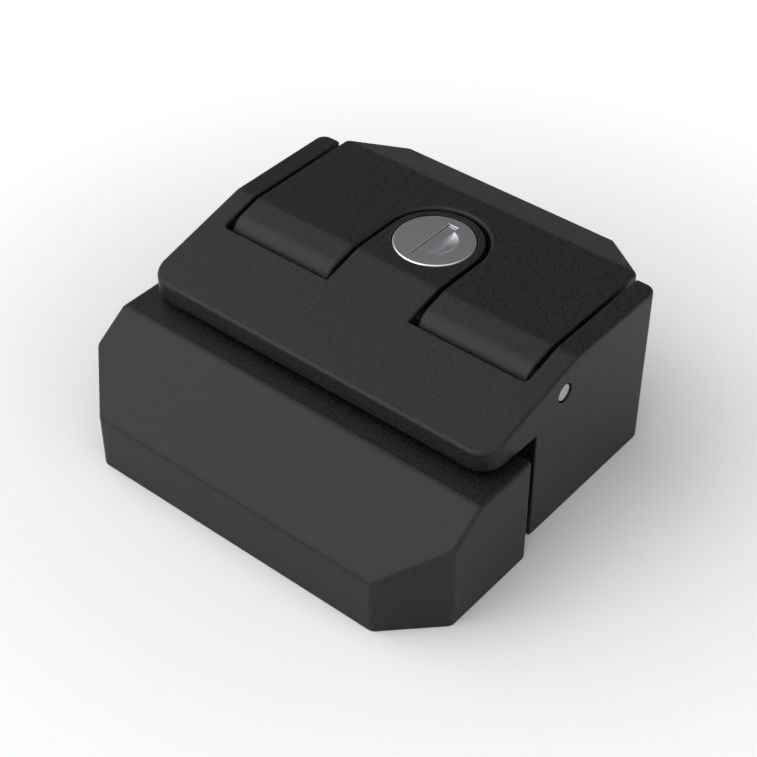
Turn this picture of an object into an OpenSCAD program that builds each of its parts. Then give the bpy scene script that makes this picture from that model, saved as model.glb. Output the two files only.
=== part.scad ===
// Surface-mounted lever slam lock for a cabinet door or machine guard, with its keeper.
// Lengths in mm. X runs across the lock, +Y points away from the keeper, Z = 0 is the mounting plane.
// The origin is the centre of the lock body's four fixing holes, on the mounting plane.

/* [Lock body] */
// Width of the lock body
lock_w = 80; // [78:0.5:90]
// Depth of the lock body on the panel, front wall to rear wall
lock_d = 36.2; // [35.5:0.1:40]
// Height of the lock body
lock_h = 35.1; // [34.6:0.1:38]
// Thickness of the front and rear walls
lock_wall = 2.4; // [1.8:0.1:2.6]
// Thickness of the two side cheeks that stand beside the lever
cheek_t = 4.5; // [3.5:0.1:5.5]
// Distance from the front wall back to the crest line of the sloping cover
crest_back = 10.94; // [10.4:0.02:12]
// How far the cover plate reaches over the keeper
plate_reach = 14.2; // [12:0.1:17]
// Height of the cover plate's top edge at its nose
plate_nose_z = 28.75; // [28:0.05:30]
// Height of the cover plate's underside where it meets the front wall
plate_root_z = 23.5; // [23.4:0.05:24]
// Rise of the cover plate's underside from the wall to the nose
plate_under_rise = 0.9; // [0:0.1:1.5]
// Radius of the cover plate's front corners, seen from above
plate_corner_r = 4.6; // [2:0.1:8]
// Radius of the rear corners, seen from above
rear_corner_r = 2.4; // [1.5:0.1:4]
// Radius of the moulded edges of the lock body
lock_edge_r = 1.1; // [0.6:0.1:1.4]
// Height of the deck under the lever
deck_z = 23.4; // [22.8:0.1:23.6]
// Thickness of the deck
deck_t = 2; // [1.5:0.1:2.2]
// Corner radius of the lever's window
window_r = 1.2; // [0.6:0.1:2]
// Thickness of the ribs that tie the posts to the cheeks
post_rib_t = 1.6; // [1.2:0.1:2.4]
// Height left from the carriage up to the boss of the cylinder lock
boss_rise = 4.2; // [4:0.1:4.4]

/* [Keeper] */
// Width of the keeper
keeper_w = 85; // [78:0.5:95]
// Depth of the keeper, front to back
keeper_d = 31.5; // [30:0.1:40]
// Height of the keeper's flat top
keeper_h = 23.2; // [22:0.1:23.3]
// Height of the keeper's upright front face
keeper_nose_h = 11.9; // [9:0.1:15]
// Depth of the keeper's sloping front, seen from above
keeper_slope_d = 16.8; // [12:0.1:20]
// Size of the keeper's cut front corners, seen from above
keeper_cut = 9.8; // [5:0.1:12]
// Wall of the keeper moulding
keeper_wall = 2.6; // [1.8:0.1:3]
// Radius of the keeper's moulded edges
keeper_edge_r = 1.1; // [0.6:0.1:1.4]
// Gap between door and frame, keeper to lock body
door_gap = 4.3; // [3:0.1:5]
// Distance from the keeper's rear wall to the middle of its fixing holes
keeper_fix_back = 15.6; // [14:0.1:17]
// Distance of the keeper's fixing holes from its sides
keeper_fix_in = 12.5; // [12:0.5:14]
// Distance of the keeper's base screws from its sides
keeper_screw_in = 7; // [6.5:0.1:8]
// Depth of the bolt pocket from the keeper's rear wall
pocket_l = 13.5; // [12:0.5:16]
// Room beside the latch bolt in the pocket
pocket_side = 7; // [3:0.5:8]
// Thickness of the folded strike box
strike_t = 2; // [1:0.1:2.2]
// Thickness of the keeper's ribs
keeper_rib_t = 1.8; // [1.2:0.1:2.4]

/* [Lever] */
// How far the lever's lip reaches behind the rear wall
lever_reach = 9; // [7:0.1:14]
// Depth of the lever's sloping rear edge
lever_slope_d = 7.8; // [5:0.1:9]
// Drop of the lever's sloping rear edge
lever_slope_drop = 2; // [1:0.1:4]
// Width of each cut rear corner of the lever
lever_cut_w = 10.2; // [4:0.1:14]
// Wall of the lever moulding
lever_wall = 2.2; // [1.6:0.1:2.6]
// Gap between the lever and each cheek
lever_side_gap = 0.8; // [0.5:0.1:1.2]
// Gap between the lever and the deck
lever_rise = 0.5; // [0.4:0.1:0.8]
// Radius of the lever's moulded edges
lever_edge_r = 1.1; // [0.6:0.1:1.4]
// Distance from the front wall back to the hinge pin
pin_back = 7.85; // [7.6:0.05:8.6]
// Height of the hinge pin
pin_z = 29; // [28.9:0.05:29.6]
// Diameter of the hinge pin
pin_d = 4; // [3:0.1:4.4]
// Radius of the lever's two knuckles
knuckle_r = 5.15; // [4.6:0.05:5.2]
// Gap between a knuckle and the front edge of its window
window_gap = 0.5; // [0.3:0.05:0.8]
// Radius of the tongue round the cylinder lock
tongue_r = 9.6; // [9.2:0.05:10]
// Gap between the tongue and the lever
tongue_gap = 0.85; // [0.7:0.05:1.2]
// Opening angle of the lever
lever_swing = 40; // [30:1:42]
// Length of the lever's drive fingers, pin to contact
finger_arm = 12; // [11:0.1:12.4]
// Thickness of a drive finger
finger_t = 5; // [4:0.1:5.4]
// Width of a drive finger
finger_w = 5; // [4:0.1:5.4]
// Distance from a fixing hole to the drive finger beside it, towards the middle
finger_in = 8.5; // [8.4:0.1:9]
// Outer radius of the plastic bushes in the lever's knuckles
bush_r = 3; // [2.6:0.05:3.4]
// Length of each bush
bush_l = 6; // [4:0.5:7]
// Distance of the lever's outer ribs from the middle
rib_x = 24; // [20:0.5:28]
// Thickness of the lever's ribs
rib_t = 1.8; // [1.2:0.1:2.4]
// Diameter of the rubber buffers under the lever
buffer_d = 6; // [4:0.5:7]
// Distance of the buffers from the rear wall's inner face
buffer_back = 4.2; // [4:0.1:6]
// Distance of the buffers from the lever's side walls
buffer_in = 3.7; // [3.5:0.1:5]
// Depth of the buffers' seats in the deck
buffer_seat = 1; // [0.6:0.1:1.4]

/* [Latch] */
// Distance from each guide rod to the side of the latch bolt
bolt_in = 6; // [5.8:0.1:7]
// Thickness of the latch bolt
bolt_t = 7.4; // [6:0.1:7.6]
// Height of the latch bolt's underside
bolt_z = 4.6; // [4.5:0.1:5]
// How far the latch bolt reaches into the keeper
bolt_bite = 6; // [4:0.1:6.3]
// Slam travel of the latch bolt in its carriage
slam_travel = 6.5; // [6.4:0.1:6.8]
// Height left on the latch bolt's bevelled tip
bolt_tip_t = 2; // [1:0.1:3]
// Thickness of the shoulder behind the carriage
shoulder_t = 2; // [1.5:0.1:2.4]
// Length of the carriage along its rods
carriage_l = 7.5; // [7:0.1:8]
// Wall of the carriage round the latch bolt
carriage_wall = 1.6; // [1.2:0.1:1.8]
// Diameter of the guide rods
rod_d = 4; // [3:0.1:4.2]
// Distance from a drive finger to its guide rod, towards the middle
rod_in = 4.5; // [4.4:0.1:5]
// Height of the guide rods
rod_z = 7.5; // [7:0.1:8]
// Wire of the compression springs
wire_d = 0.7; // [0.5:0.05:0.8]
// Coil diameter of the carriage springs, at the middle of the wire
rod_coil_d = 5.6; // [5.2:0.1:6]
// Coil diameter of the bolt springs, at the middle of the wire
bolt_coil_d = 5; // [4.6:0.1:5.4]
// Distance of each bolt spring from the middle
bolt_spring_x = 5.6; // [4:0.1:6]
// Turns of a carriage spring
rod_turns = 7; // [5:1:8]
// Turns of a bolt spring
bolt_turns = 6; // [4:1:7]
// Width of the upstands that hold the guide rods
tab_w = 8; // [7:0.5:9]
// Thickness of those upstands
tab_t = 2; // [1.5:0.1:2.2]
// Thickness of the rods' spring clips
rod_clip_t = 0.6; // [0.4:0.1:0.8]
// Width of the rim of those clips
rod_clip_w = 1.7; // [1.2:0.1:2]
// Wall of the bolt's bezel
bezel_t = 1; // [0.8:0.1:1.2]
// Lip of the bezel behind the front wall
bezel_lip = 0.4; // [0.3:0.1:0.6]

/* [Cylinder lock] */
// Distance from the lock body's back wall to the axis of the cylinder lock
cyl_back = 14.36; // [14.3:0.02:15]
// Diameter of the lock's face disc
disc_d = 16.3; // [14:0.1:16.6]
// Thickness of the face disc
disc_t = 2.5; // [2:0.1:2.6]
// Diameter of the key plug
plug_d = 12; // [11.6:0.1:12.2]
// Outer diameter of the lock sleeve
sleeve_d = 15.9; // [15.6:0.1:16]
// Width of the key slot
key_w = 2.3; // [2:0.1:2.6]
// Length of the key slot in the face
key_l = 11.6; // [10:0.1:12]
// Radius of the half-moon scoop beside the key slot, at the face
scoop_r = 4.5; // [3:0.1:5]
// Depth of the scoop's dish on the lock's axis
scoop_depth = 0.95; // [0.6:0.05:1.2]
// How far the closed dust shutter lies below the face
shutter_in = 0.35; // [0.2:0.05:0.6]
// Thickness of the dust shutter
shutter_t = 0.45; // [0.3:0.05:0.6]
// Width of the lock nut across its flats
nut_af = 18; // [17.8:0.1:18.4]
// Thickness of the lock nut
nut_t = 2.4; // [2:0.1:2.6]
// Thickness of the plug's retaining clip
clip_t = 0.6; // [0.4:0.1:0.8]
// Width of the rim of that clip
clip_rim = 1.4; // [1.2:0.1:1.6]
// Number of wafers
wafer_n = 5; // [3:1:5]
// Thickness of a wafer
wafer_t = 1; // [0.8:0.1:1.1]
// Distance from wafer to wafer
wafer_pitch = 2.2; // [2:0.1:2.2]
// Width of a wafer
wafer_w = 6; // [5:0.1:6.4]
// Travel of a wafer into the sleeve's grooves
wafer_travel = 0.5; // [0.3:0.1:0.6]
// Diameter of the locking pin
lock_pin_d = 2.4; // [1.8:0.1:2.4]
// Travel of the locking pin for a quarter turn of the key
lock_pin_travel = 1.6; // [1.4:0.1:1.7]
// Direction of the locking pin, seen from above
lock_pin_angle = 45; // [42:1:48]

/* [Fixings] */
// Distance of the lock body's fixing holes from its sides
fix_in = 10; // [9.5:0.5:11]
// Distance between the lock body's front and rear fixing holes
fix_y = 22; // [19:0.5:22.5]
// Distance between the keeper's front and rear fixing holes
keeper_fix_y = 15; // [12:0.5:16]
// Bore of the threaded inserts (tap drill of the fixing screws)
insert_bore_d = 4.2; // [3.3:0.1:4.4]
// Outer diameter of the threaded inserts
insert_d = 6.6; // [5.8:0.1:7]
// Length of the threaded inserts
insert_l = 10; // [6:0.5:10.5]
// Diameter of the moulded posts round the inserts
post_d = 9; // [8.4:0.1:9.2]
// Thickness of the two base plates
base_t = 2; // [1.5:0.1:2.2]
// Thread diameter of the base plate screws
screw_d = 3; // [2.5:0.1:3.4]
// Length of the base plate screws
screw_l = 9; // [7:0.5:12]

/* [Clearances] */
// Radial running clearance of pins and rods
run_fit = 0.05; // [0.02:0.01:0.1]
// Gap between sliding flat faces
slide_gap = 0.2; // [0.15:0.05:0.3]
// Gap between moving pieces and what they pass
pass_gap = 0.5; // [0.4:0.05:0.6]
// Gap between the drive fingers and the carriage lugs
finger_gap = 0.3; // [0.25:0.05:0.4]
// Gap between the base plates and the walls round them
rim_gap = 0.15; // [0.1:0.05:0.3]

/* [Hidden] */
$fn = 64;

eps = 0.01;
over = 1; // how far a cutter runs past the face that it cuts
hull_fn = 32;
front_y = -lock_d / 2;
rear_y = lock_d / 2;
crest_y = front_y + crest_back;
plate_y = front_y - plate_reach;
pin_y = front_y + pin_back;
cyl_y = rear_y - cyl_back;
lock_slope = (lock_h - plate_nose_z) / (crest_y - plate_y);
inner_front_y = front_y + lock_wall;
inner_rear_y = rear_y - lock_wall;
well_x = lock_w / 2 - cheek_t;
window_y = pin_y - knuckle_r - window_gap;
lock_roof = [
    [lock_h - lock_slope * crest_y, lock_slope],
    [lock_h, 0]
];
plate_floor_slope = -plate_under_rise / plate_reach;

fix_x = lock_w - 2 * fix_in;
base_screw_x = fix_x / 2;
finger_x = fix_x / 2 - finger_in;
rod_x = finger_x - rod_in;
bolt_w = 2 * (rod_x - bolt_in);

keeper_rear_y = front_y - door_gap;
keeper_front_y = keeper_rear_y - keeper_d;
keeper_slope = (keeper_h - keeper_nose_h) / keeper_slope_d;
keeper_fix_mid_y = keeper_rear_y - keeper_fix_back;
keeper_fix_x = keeper_w - 2 * keeper_fix_in;
keeper_screw_x = keeper_w / 2 - keeper_screw_in;
keeper_plan = [
    [-keeper_w / 2 + keeper_cut, keeper_front_y, keeper_edge_r],
    [keeper_w / 2 - keeper_cut, keeper_front_y, keeper_edge_r],
    [keeper_w / 2, keeper_front_y + keeper_cut, keeper_edge_r],
    [keeper_w / 2, keeper_rear_y, 2 * keeper_edge_r],
    [-keeper_w / 2, keeper_rear_y, 2 * keeper_edge_r],
    [-keeper_w / 2, keeper_front_y + keeper_cut, keeper_edge_r]
];

lever_x = well_x - lever_side_gap;
lip_y = rear_y + lever_reach;
lever_crest_y = lip_y - lever_slope_d;
lever_z = deck_z + lever_rise;
notch_r = tongue_r + tongue_gap;
knuckle_l = lever_x - notch_r;
lever_slope = lever_slope_drop / lever_slope_d;
buffer_y = inner_rear_y - buffer_back;
bush_places = [
    -lever_x + bush_l / 2, -notch_r - bush_l / 2,
    notch_r + bush_l / 2, lever_x - bush_l / 2
];

lever_turn = lever_swing * PI / 180;
carriage_ratio = finger_arm * (sin(lever_swing) + sin(lever_swing / 2)) / (lever_turn * 1.5);
carriage_travel = carriage_ratio * lever_turn;

carriage_y = inner_front_y + tab_t + rim_gap + pass_gap;
carriage_rear_y = carriage_y + carriage_l;
carriage_x = finger_x + finger_w / 2 + pass_gap;
carriage_floor_z = base_t + pass_gap;
carriage_top_z = bolt_z + bolt_t + slide_gap + carriage_wall;
lug_y = pin_y + finger_t / 2 + finger_gap;
lug_top_z = deck_z - deck_t - slide_gap;
bolt_tip_y = keeper_rear_y - bolt_bite;
shoulder_y = carriage_rear_y + slide_gap / 2;
clip_seat_y = inner_rear_y - rim_gap - tab_t - rod_clip_t;

plug_top_z = lock_h - disc_t;
cam_z = plug_top_z - lock_pin_d - 1.5 * slide_gap;
lock_pin_z = cam_z + (lock_pin_d + slide_gap) / 2;
sleeve_top_z = plug_top_z - slide_gap;
boss_z = carriage_top_z + boss_rise;
nut_z = boss_z - nut_t;
sleeve_z = nut_z - 1.5 * slide_gap;
clip_z = sleeve_z - clip_t - slide_gap / 2;
plug_z = clip_z - pass_gap;
wafer_z = sleeve_z + wafer_pitch + slide_gap / 2;
groove_r = plug_d / 2 + wafer_travel + 1.5 * slide_gap;
cam_low_r = plug_d / 2 - lock_pin_travel;
shutter_z = lock_h - shutter_in;
scoop_ball_r = (scoop_r * scoop_r + scoop_depth * scoop_depth) / (2 * scoop_depth);
clip_groove_r = plug_d / 2 - 5 * slide_gap;
key_way_l = key_l * 0.66;
cam_step = 6;

screw_post_d = 2 * screw_d + 1;
peg_l = 2.5;

pocket_x = bolt_w / 2 + pocket_side;
pocket_top_z = bolt_z + bolt_t + pass_gap;

// Unit vector from a to b
function toward(a, b) = (b - a) / norm(b - a);

// Centre of a fillet of radius r in corner b, between neighbours a and c
function corner_centre(a, b, c, r) =
    let (u = toward(b, a), v = toward(b, c), half = acos(u * v) / 2)
    b + toward([0, 0], u + v) * r / sin(half);

// Outline of a convex plan whose corners are [x, y, radius], drawn inside by inset
function plan_ring(plan, inset, steps = 6) = [
    for (i = [0 : len(plan) - 1])
        let (
            q = plan[i],
            last = plan[(i + len(plan) - 1) % len(plan)],
            next = plan[(i + 1) % len(plan)],
            b = [q[0], q[1]],
            a = [last[0], last[1]],
            c = [next[0], next[1]],
            r = max(q[2], inset),
            m = corner_centre(a, b, c, r),
            u = toward(b, a),
            v = toward(b, c),
            turn = 180 - acos(u * v),
            from = atan2((a - b)[0], -(a - b)[1]),
            n = r - inset > eps ? steps : 0
        )
        for (k = [0 : n])
            let (angle = from + turn * k / max(n, 1))
            m + (r - inset) * [cos(angle), sin(angle)]
];

// Half width of a mirrored ring at depth y
function half_at(ring, y) = max([
    for (i = [0 : len(ring) - 1])
        let (a = ring[i], b = ring[(i + 1) % len(ring)])
        if ((a[1] - y) * (b[1] - y) <= 0 && a[1] != b[1])
            a[0] + (b[0] - a[0]) * (y - a[1]) / (b[1] - a[1])
]);

// Height at depth y of a roof of planes [height at y = 0, rise per mm], lowered by r along each normal
function roof_at(roof, r, y) = min([for (p = roof) p[0] + p[1] * y - r * sqrt(1 + p[1] * p[1])]);

// Depth where two lowered roof planes meet
function ridge_y(p, q, r) =
    (p[0] - r * sqrt(1 + p[1] * p[1]) - q[0] + r * sqrt(1 + q[1] * q[1])) / (q[1] - p[1]);

// Moulded block: a convex plan under a roof of planes, on a floor plane, with every edge rounded by r
module roofed_block(plan, roof, floor, r, soft_floor) {
    ring = plan_ring(plan, r);
    ridges = [for (i = [0 : 1 : len(roof) - 2]) ridge_y(roof[i], roof[i + 1], r)];
    hull() {
        for (p = ring)
            translate([p[0], p[1], roof_at(roof, r, p[1])])
                sphere(r, $fn = hull_fn);
        for (y = ridges, side = [-1, 1])
            translate([side * half_at(ring, y), y, roof_at(roof, r, y)])
                sphere(r, $fn = hull_fn);
        for (p = ring)
            translate([p[0], p[1], floor[0] + floor[1] * p[1] + (soft_floor ? r : 0)])
                if (soft_floor)
                    sphere(r, $fn = hull_fn);
                else
                    cylinder(r = r, h = 1, $fn = hull_fn);
    }
}

// Two or four copies about the YZ plane and about a depth y
module both_sides(x) {
    for (side = [-1, 1])
        translate([side * x, 0, 0])
            children();
}

module four_posts(dx, dy, mid_y) {
    for (sx = [-1, 1], sy = [-1, 1])
        translate([sx * dx / 2, mid_y + sy * dy / 2, 0])
            children();
}

// Round bar along X, centred on x = 0
module cross_bar(r, l) {
    rotate([0, 90, 0])
        cylinder(r = r, h = l, center = true);
}

// Round bar along +Y from y = 0
module long_bar(r, l) {
    rotate([-90, 0, 0])
        cylinder(r = r, h = l);
}

// Box from x = -w / 2 to w / 2, y from y0 to y1, z from z0 to z1
module slab(w, y0, y1, z0, z1) {
    translate([-w / 2, y0, z0])
        cube([w, y1 - y0, z1 - z0]);
}

// Helical spring along +Y from y = 0, with flattened end turns
module coil_spring(mean_d, length, wire, turns) {
    around = 14;
    sides = 6;
    count = around * turns;
    closed_turns = 1;
    pitch_l = length - wire - 2 * closed_turns * wire;
    path = [
        for (i = [0 : count])
            let (
                t = i / around,
                lead = min(t, closed_turns) * wire,
                tail = max(t - (turns - closed_turns), 0) * wire,
                run = max(min(t, turns - closed_turns) - closed_turns, 0) / (turns - 2 * closed_turns)
            )
            [mean_d / 2 * cos(360 * t), wire / 2 + lead + run * pitch_l + tail, mean_d / 2 * sin(360 * t)]
    ];
    points = [
        for (i = [0 : count], s = [0 : sides - 1])
            let (a = 360 * i / around, b = 360 * s / sides)
            path[i] + wire / 2 * [cos(a) * cos(b), sin(b), sin(a) * cos(b)]
    ];
    walls = [
        for (i = [0 : count - 1], s = [0 : sides - 1])
            let (n = (s + 1) % sides)
            [i * sides + s, i * sides + n, (i + 1) * sides + n, (i + 1) * sides + s]
    ];
    ends = [
        [for (s = [sides - 1 : -1 : 0]) s],
        [for (s = [0 : sides - 1]) count * sides + s]
    ];
    polyhedron(points, concat(walls, ends), convexity = 10);
}

// Plan of the tongue that carries the cylinder lock, grown by a gap
module tongue_plan(grow) {
    translate([0, cyl_y])
        circle(tongue_r + grow);
    translate([-tongue_r - grow, front_y])
        square([2 * (tongue_r + grow), cyl_y - front_y]);
}

// The well between the cheeks in which the lever lies, open to the rear
module lever_well() {
    translate([0, 0, deck_z])
        linear_extrude(lock_h)
            difference() {
                union() {
                    translate([-well_x, window_y + window_r])
                        square([2 * well_x, rear_y + over - window_y - window_r]);
                    translate([-well_x + window_r, window_y])
                        square([2 * (well_x - window_r), window_r + eps]);
                    for (side = [-1, 1])
                        translate([side * (well_x - window_r), window_y + window_r])
                            circle(window_r);
                }
                tongue_plan(0);
            }
}

// Small bevel round the rear of the tongue's top, so that the lever swings past it
module tongue_bevel() {
    bevel = 0.6;
    translate([0, cyl_y, lock_h - bevel])
        rotate_extrude()
            polygon([
                [tongue_r - bevel, bevel + eps],
                [tongue_r + eps, bevel + eps],
                [tongue_r + eps, -eps]
            ]);
}

module drive_slots() {
    slot_front = pin_y - finger_t / 2 - pass_gap;
    slot_rear = pin_y + (pin_z - deck_z + deck_t) * tan(lever_swing)
        + finger_t / 2 / cos(lever_swing) + pass_gap;
    both_sides(finger_x)
        slab(finger_w + 2 * pass_gap, slot_front, slot_rear, deck_z - deck_t - over, deck_z + over);
}

// The lock body's moulding: cover plate, cheeks, tongue, deck, boss and posts
module housing_shell() {
    plate_plan = [
        [-lock_w / 2, plate_y, plate_corner_r], [lock_w / 2, plate_y, plate_corner_r],
        [lock_w / 2, rear_y, rear_corner_r], [-lock_w / 2, rear_y, rear_corner_r]
    ];
    block_plan = [
        [-lock_w / 2, front_y, lock_edge_r], [lock_w / 2, front_y, lock_edge_r],
        [lock_w / 2, rear_y, rear_corner_r], [-lock_w / 2, rear_y, rear_corner_r]
    ];
    color([0.09, 0.09, 0.095])
        difference() {
            union() {
                difference() {
                    union() {
                        roofed_block(plate_plan, lock_roof,
                            [plate_root_z + plate_floor_slope * -front_y, plate_floor_slope],
                            lock_edge_r, true);
                        roofed_block(block_plan, lock_roof, [0, 0], lock_edge_r, false);
                    }
                    lever_well();
                    slab(2 * well_x, inner_front_y, inner_rear_y, -over, deck_z - deck_t);
                }
                // Boss under the tongue, down to the nut
                translate([0, cyl_y, boss_z])
                    cylinder(r = tongue_r, h = deck_z - boss_z);
                // Posts for the inserts and for the base screws
                four_posts(fix_x, fix_y, 0)
                    translate([0, 0, base_t])
                        cylinder(d = post_d, h = deck_z - deck_t - base_t + eps);
                both_sides(base_screw_x)
                    translate([0, 0, base_t])
                        cylinder(d = screw_post_d, h = deck_z - deck_t - base_t + eps);
                // Ribs that tie the posts to the cheeks
                for (sy = [-1, 0, 1])
                    both_sides((base_screw_x + well_x) / 2)
                        slab(well_x - base_screw_x + 2 * eps, (sy * fix_y - post_rib_t) / 2,
                            (sy * fix_y + post_rib_t) / 2, base_t, deck_z - deck_t + eps);
                // Pegs that centre the bolt springs on the rear wall
                both_sides(bolt_spring_x)
                    translate([0, inner_rear_y - peg_l, bolt_z + bolt_t / 2])
                        long_bar((bolt_coil_d - wire_d) / 2 - 1.5 * slide_gap, peg_l + eps);
            }
            tongue_bevel();
            drive_slots();
            // Bore of the hinge pin, through both cheeks and the tongue's root
            translate([0, pin_y, pin_z])
                cross_bar(pin_d / 2, lock_w + 2 * over);
            // Bore of the cylinder lock
            translate([0, cyl_y, boss_z - over])
                cylinder(d = sleeve_d, h = lock_h);
            // Counterbore of the face disc
            translate([0, cyl_y, sleeve_top_z])
                cylinder(d = disc_d, h = disc_t + over);
            // Cross bore of the locking pin
            locking_pin_bore();
            // Mouth of the latch bolt, with its bezel
            slab(bolt_w + 2 * (slide_gap + bezel_t), front_y - over, inner_front_y + over,
                bolt_z - slide_gap - bezel_t, bolt_z + bolt_t + slide_gap + bezel_t);
            // Seats of the inserts, the base screws and the buffers
            four_posts(fix_x, fix_y, 0)
                translate([0, 0, -over])
                    cylinder(d = insert_d, h = insert_l + over);
            both_sides(base_screw_x)
                cylinder(d = screw_d, h = screw_l + pass_gap);
            buffer_places()
                translate([0, 0, -buffer_seat])
                    cylinder(d = buffer_d, h = buffer_seat + over);
        }
}

module locking_pin_bore() {
    translate([0, cyl_y, lock_pin_z])
        rotate([0, 0, lock_pin_angle])
            rotate([0, 90, 0])
                cylinder(r = lock_pin_d / 2 + run_fit, h = tongue_r + over);
}

module buffer_places() {
    both_sides(lever_x - buffer_in)
        translate([0, buffer_y, deck_z])
            children();
}

// Steel base plate of the lock body, with four upstands that hold the guide rods
module chassis_plate() {
    half_w = well_x - rim_gap;
    front = inner_front_y + rim_gap;
    rear = inner_rear_y - rim_gap;
    color([0.55, 0.56, 0.58])
        difference() {
            union() {
                slab(2 * half_w, front, rear, 0, base_t);
                both_sides(rod_x)
                    for (y = [front, rear - tab_t]) {
                        slab(tab_w, y, y + tab_t, base_t - eps, rod_z);
                        translate([0, y, rod_z])
                            long_bar(tab_w / 2, tab_t);
                    }
            }
            both_sides(rod_x)
                translate([0, inner_front_y - over, rod_z])
                    long_bar(rod_d / 2, lock_d);
            four_posts(fix_x, fix_y, 0)
                translate([0, 0, -over])
                    cylinder(d = insert_d + 2 * rim_gap, h = base_t + 2 * over);
            both_sides(base_screw_x)
                screw_seat();
        }
}

// Countersunk hole of a base plate screw, from the underside
module screw_seat() {
    translate([0, 0, -eps])
        cylinder(d1 = 2 * screw_d + 2 * eps, d2 = screw_d, h = screw_d / 2 + eps);
    cylinder(d = screw_d, h = base_t + over);
}

// Countersunk screw with a cross recess, head down on the mounting plane
module base_screw() {
    recess_l = screw_d * 1.1;
    recess_w = screw_d / 5;
    recess_depth = screw_d * 0.3;
    difference() {
        union() {
            cylinder(d1 = 2 * screw_d, d2 = screw_d, h = screw_d / 2);
            cylinder(d = screw_d, h = screw_l);
        }
        for (a = [0, 90])
            rotate([0, 0, a])
                translate([-recess_l / 2, -recess_w / 2, -over])
                    cube([recess_l, recess_w, over + recess_depth]);
    }
}

module chassis_screws() {
    color([0.7, 0.7, 0.72])
        both_sides(base_screw_x)
            base_screw();
}

// Brass insert with a plain bore of tap-drill size
module insert() {
    difference() {
        cylinder(d = insert_d, h = insert_l);
        translate([0, 0, -over])
            cylinder(d = insert_bore_d, h = insert_l + 2 * over);
    }
}

module lock_inserts() {
    color([0.75, 0.6, 0.3])
        four_posts(fix_x, fix_y, 0)
            insert();
}

module hinge_pin() {
    bevel = 0.4;
    set_in = 0.3;
    color([0.78, 0.78, 0.8])
        translate([0, pin_y, pin_z])
            rotate([0, 90, 0])
                rotate_extrude()
                    polygon([
                        [0, -lock_w / 2 + set_in],
                        [pin_d / 2 - bevel, -lock_w / 2 + set_in],
                        [pin_d / 2, -lock_w / 2 + set_in + bevel],
                        [pin_d / 2, lock_w / 2 - set_in - bevel],
                        [pin_d / 2 - bevel, lock_w / 2 - set_in],
                        [0, lock_w / 2 - set_in]
                    ]);
}

// Plastic frame that guides the latch bolt in the front wall
module bolt_bezel() {
    w = bolt_w + 2 * slide_gap;
    low = bolt_z - slide_gap;
    high = bolt_z + bolt_t + slide_gap;
    color([0.2, 0.2, 0.21])
        difference() {
            union() {
                slab(w + 2 * bezel_t, front_y, inner_front_y, low - bezel_t, high + bezel_t);
                slab(w + 2 * (bezel_t + bezel_lip), inner_front_y, inner_front_y + 2 * bezel_lip,
                    low - bezel_t + slide_gap, high + bezel_t + 2 * bezel_lip);
            }
            slab(w, front_y - over, inner_front_y + 2 * over, low, high);
        }
}

module lever_buffers() {
    color([0.05, 0.05, 0.05])
        buffer_places()
            translate([0, 0, -buffer_seat])
                cylinder(d = buffer_d, h = buffer_seat + lever_rise - slide_gap);
}

module guide_rods() {
    color([0.75, 0.75, 0.77])
        both_sides(rod_x)
            translate([0, inner_front_y + rim_gap, rod_z])
                long_bar(rod_d / 2, inner_rear_y - inner_front_y - 2 * rim_gap);
}

// Spring clips that keep the rods from creeping
module rod_clips() {
    color([0.45, 0.46, 0.48])
        both_sides(rod_x)
            translate([0, clip_seat_y, rod_z])
                difference() {
                    long_bar(rod_d / 2 + rod_clip_w, rod_clip_t);
                    translate([0, -over, 0])
                        long_bar(rod_d / 2, rod_clip_t + 2 * over);
                    slab(rod_d - 3 * slide_gap, -over, rod_clip_t + over, -rod_d, 0);
                }
}

module carriage_springs() {
    color([0.7, 0.71, 0.73])
        both_sides(rod_x)
            translate([0, carriage_rear_y + slide_gap / 2, rod_z])
                coil_spring(rod_coil_d, clip_seat_y - carriage_rear_y - slide_gap, wire_d, rod_turns);
}

module bolt_springs() {
    color([0.7, 0.71, 0.73])
        both_sides(bolt_spring_x)
            translate([0, shoulder_y + shoulder_t + slide_gap / 2, bolt_z + bolt_t / 2])
                coil_spring(bolt_coil_d, inner_rear_y - shoulder_y - shoulder_t - slide_gap, wire_d,
                    bolt_turns);
}

// Brass sleeve of the cylinder lock, with grooves for the wafers at each quarter turn
module lock_sleeve() {
    groove_gap = 3 * slide_gap;
    groove_l = (wafer_n - 1) * wafer_pitch + wafer_t + 2 * groove_gap;
    groove_w = wafer_w + groove_gap;
    color([0.72, 0.6, 0.34])
        difference() {
            translate([0, cyl_y, sleeve_z])
                cylinder(d = sleeve_d, h = sleeve_top_z - sleeve_z);
            translate([0, cyl_y, sleeve_z - over])
                cylinder(r = plug_d / 2 + run_fit, h = lock_h);
            for (a = [0, 90])
                translate([0, cyl_y, wafer_z - groove_gap])
                    rotate([0, 0, a])
                        translate([-groove_w / 2, -groove_r, 0])
                            cube([groove_w, 2 * groove_r, groove_l]);
            locking_pin_bore();
        }
}

module lock_nut() {
    color([0.72, 0.72, 0.74])
        translate([0, cyl_y, nut_z])
            difference() {
                cylinder(d = nut_af / cos(30), h = nut_t, $fn = 6);
                translate([0, 0, -over])
                    cylinder(d = sleeve_d, h = nut_t + 2 * over);
            }
}

// Knuckle with rounded ends, along X from x = 0
module knuckle() {
    r = lever_edge_r;
    rotate([0, 90, 0])
        rotate_extrude()
            union() {
                square([knuckle_r - r, knuckle_l]);
                translate([0, r])
                    square([knuckle_r, knuckle_l - 2 * r]);
                for (y = [r, knuckle_l - r])
                    translate([knuckle_r - r, y])
                        circle(r, $fn = hull_fn);
            }
}

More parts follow.
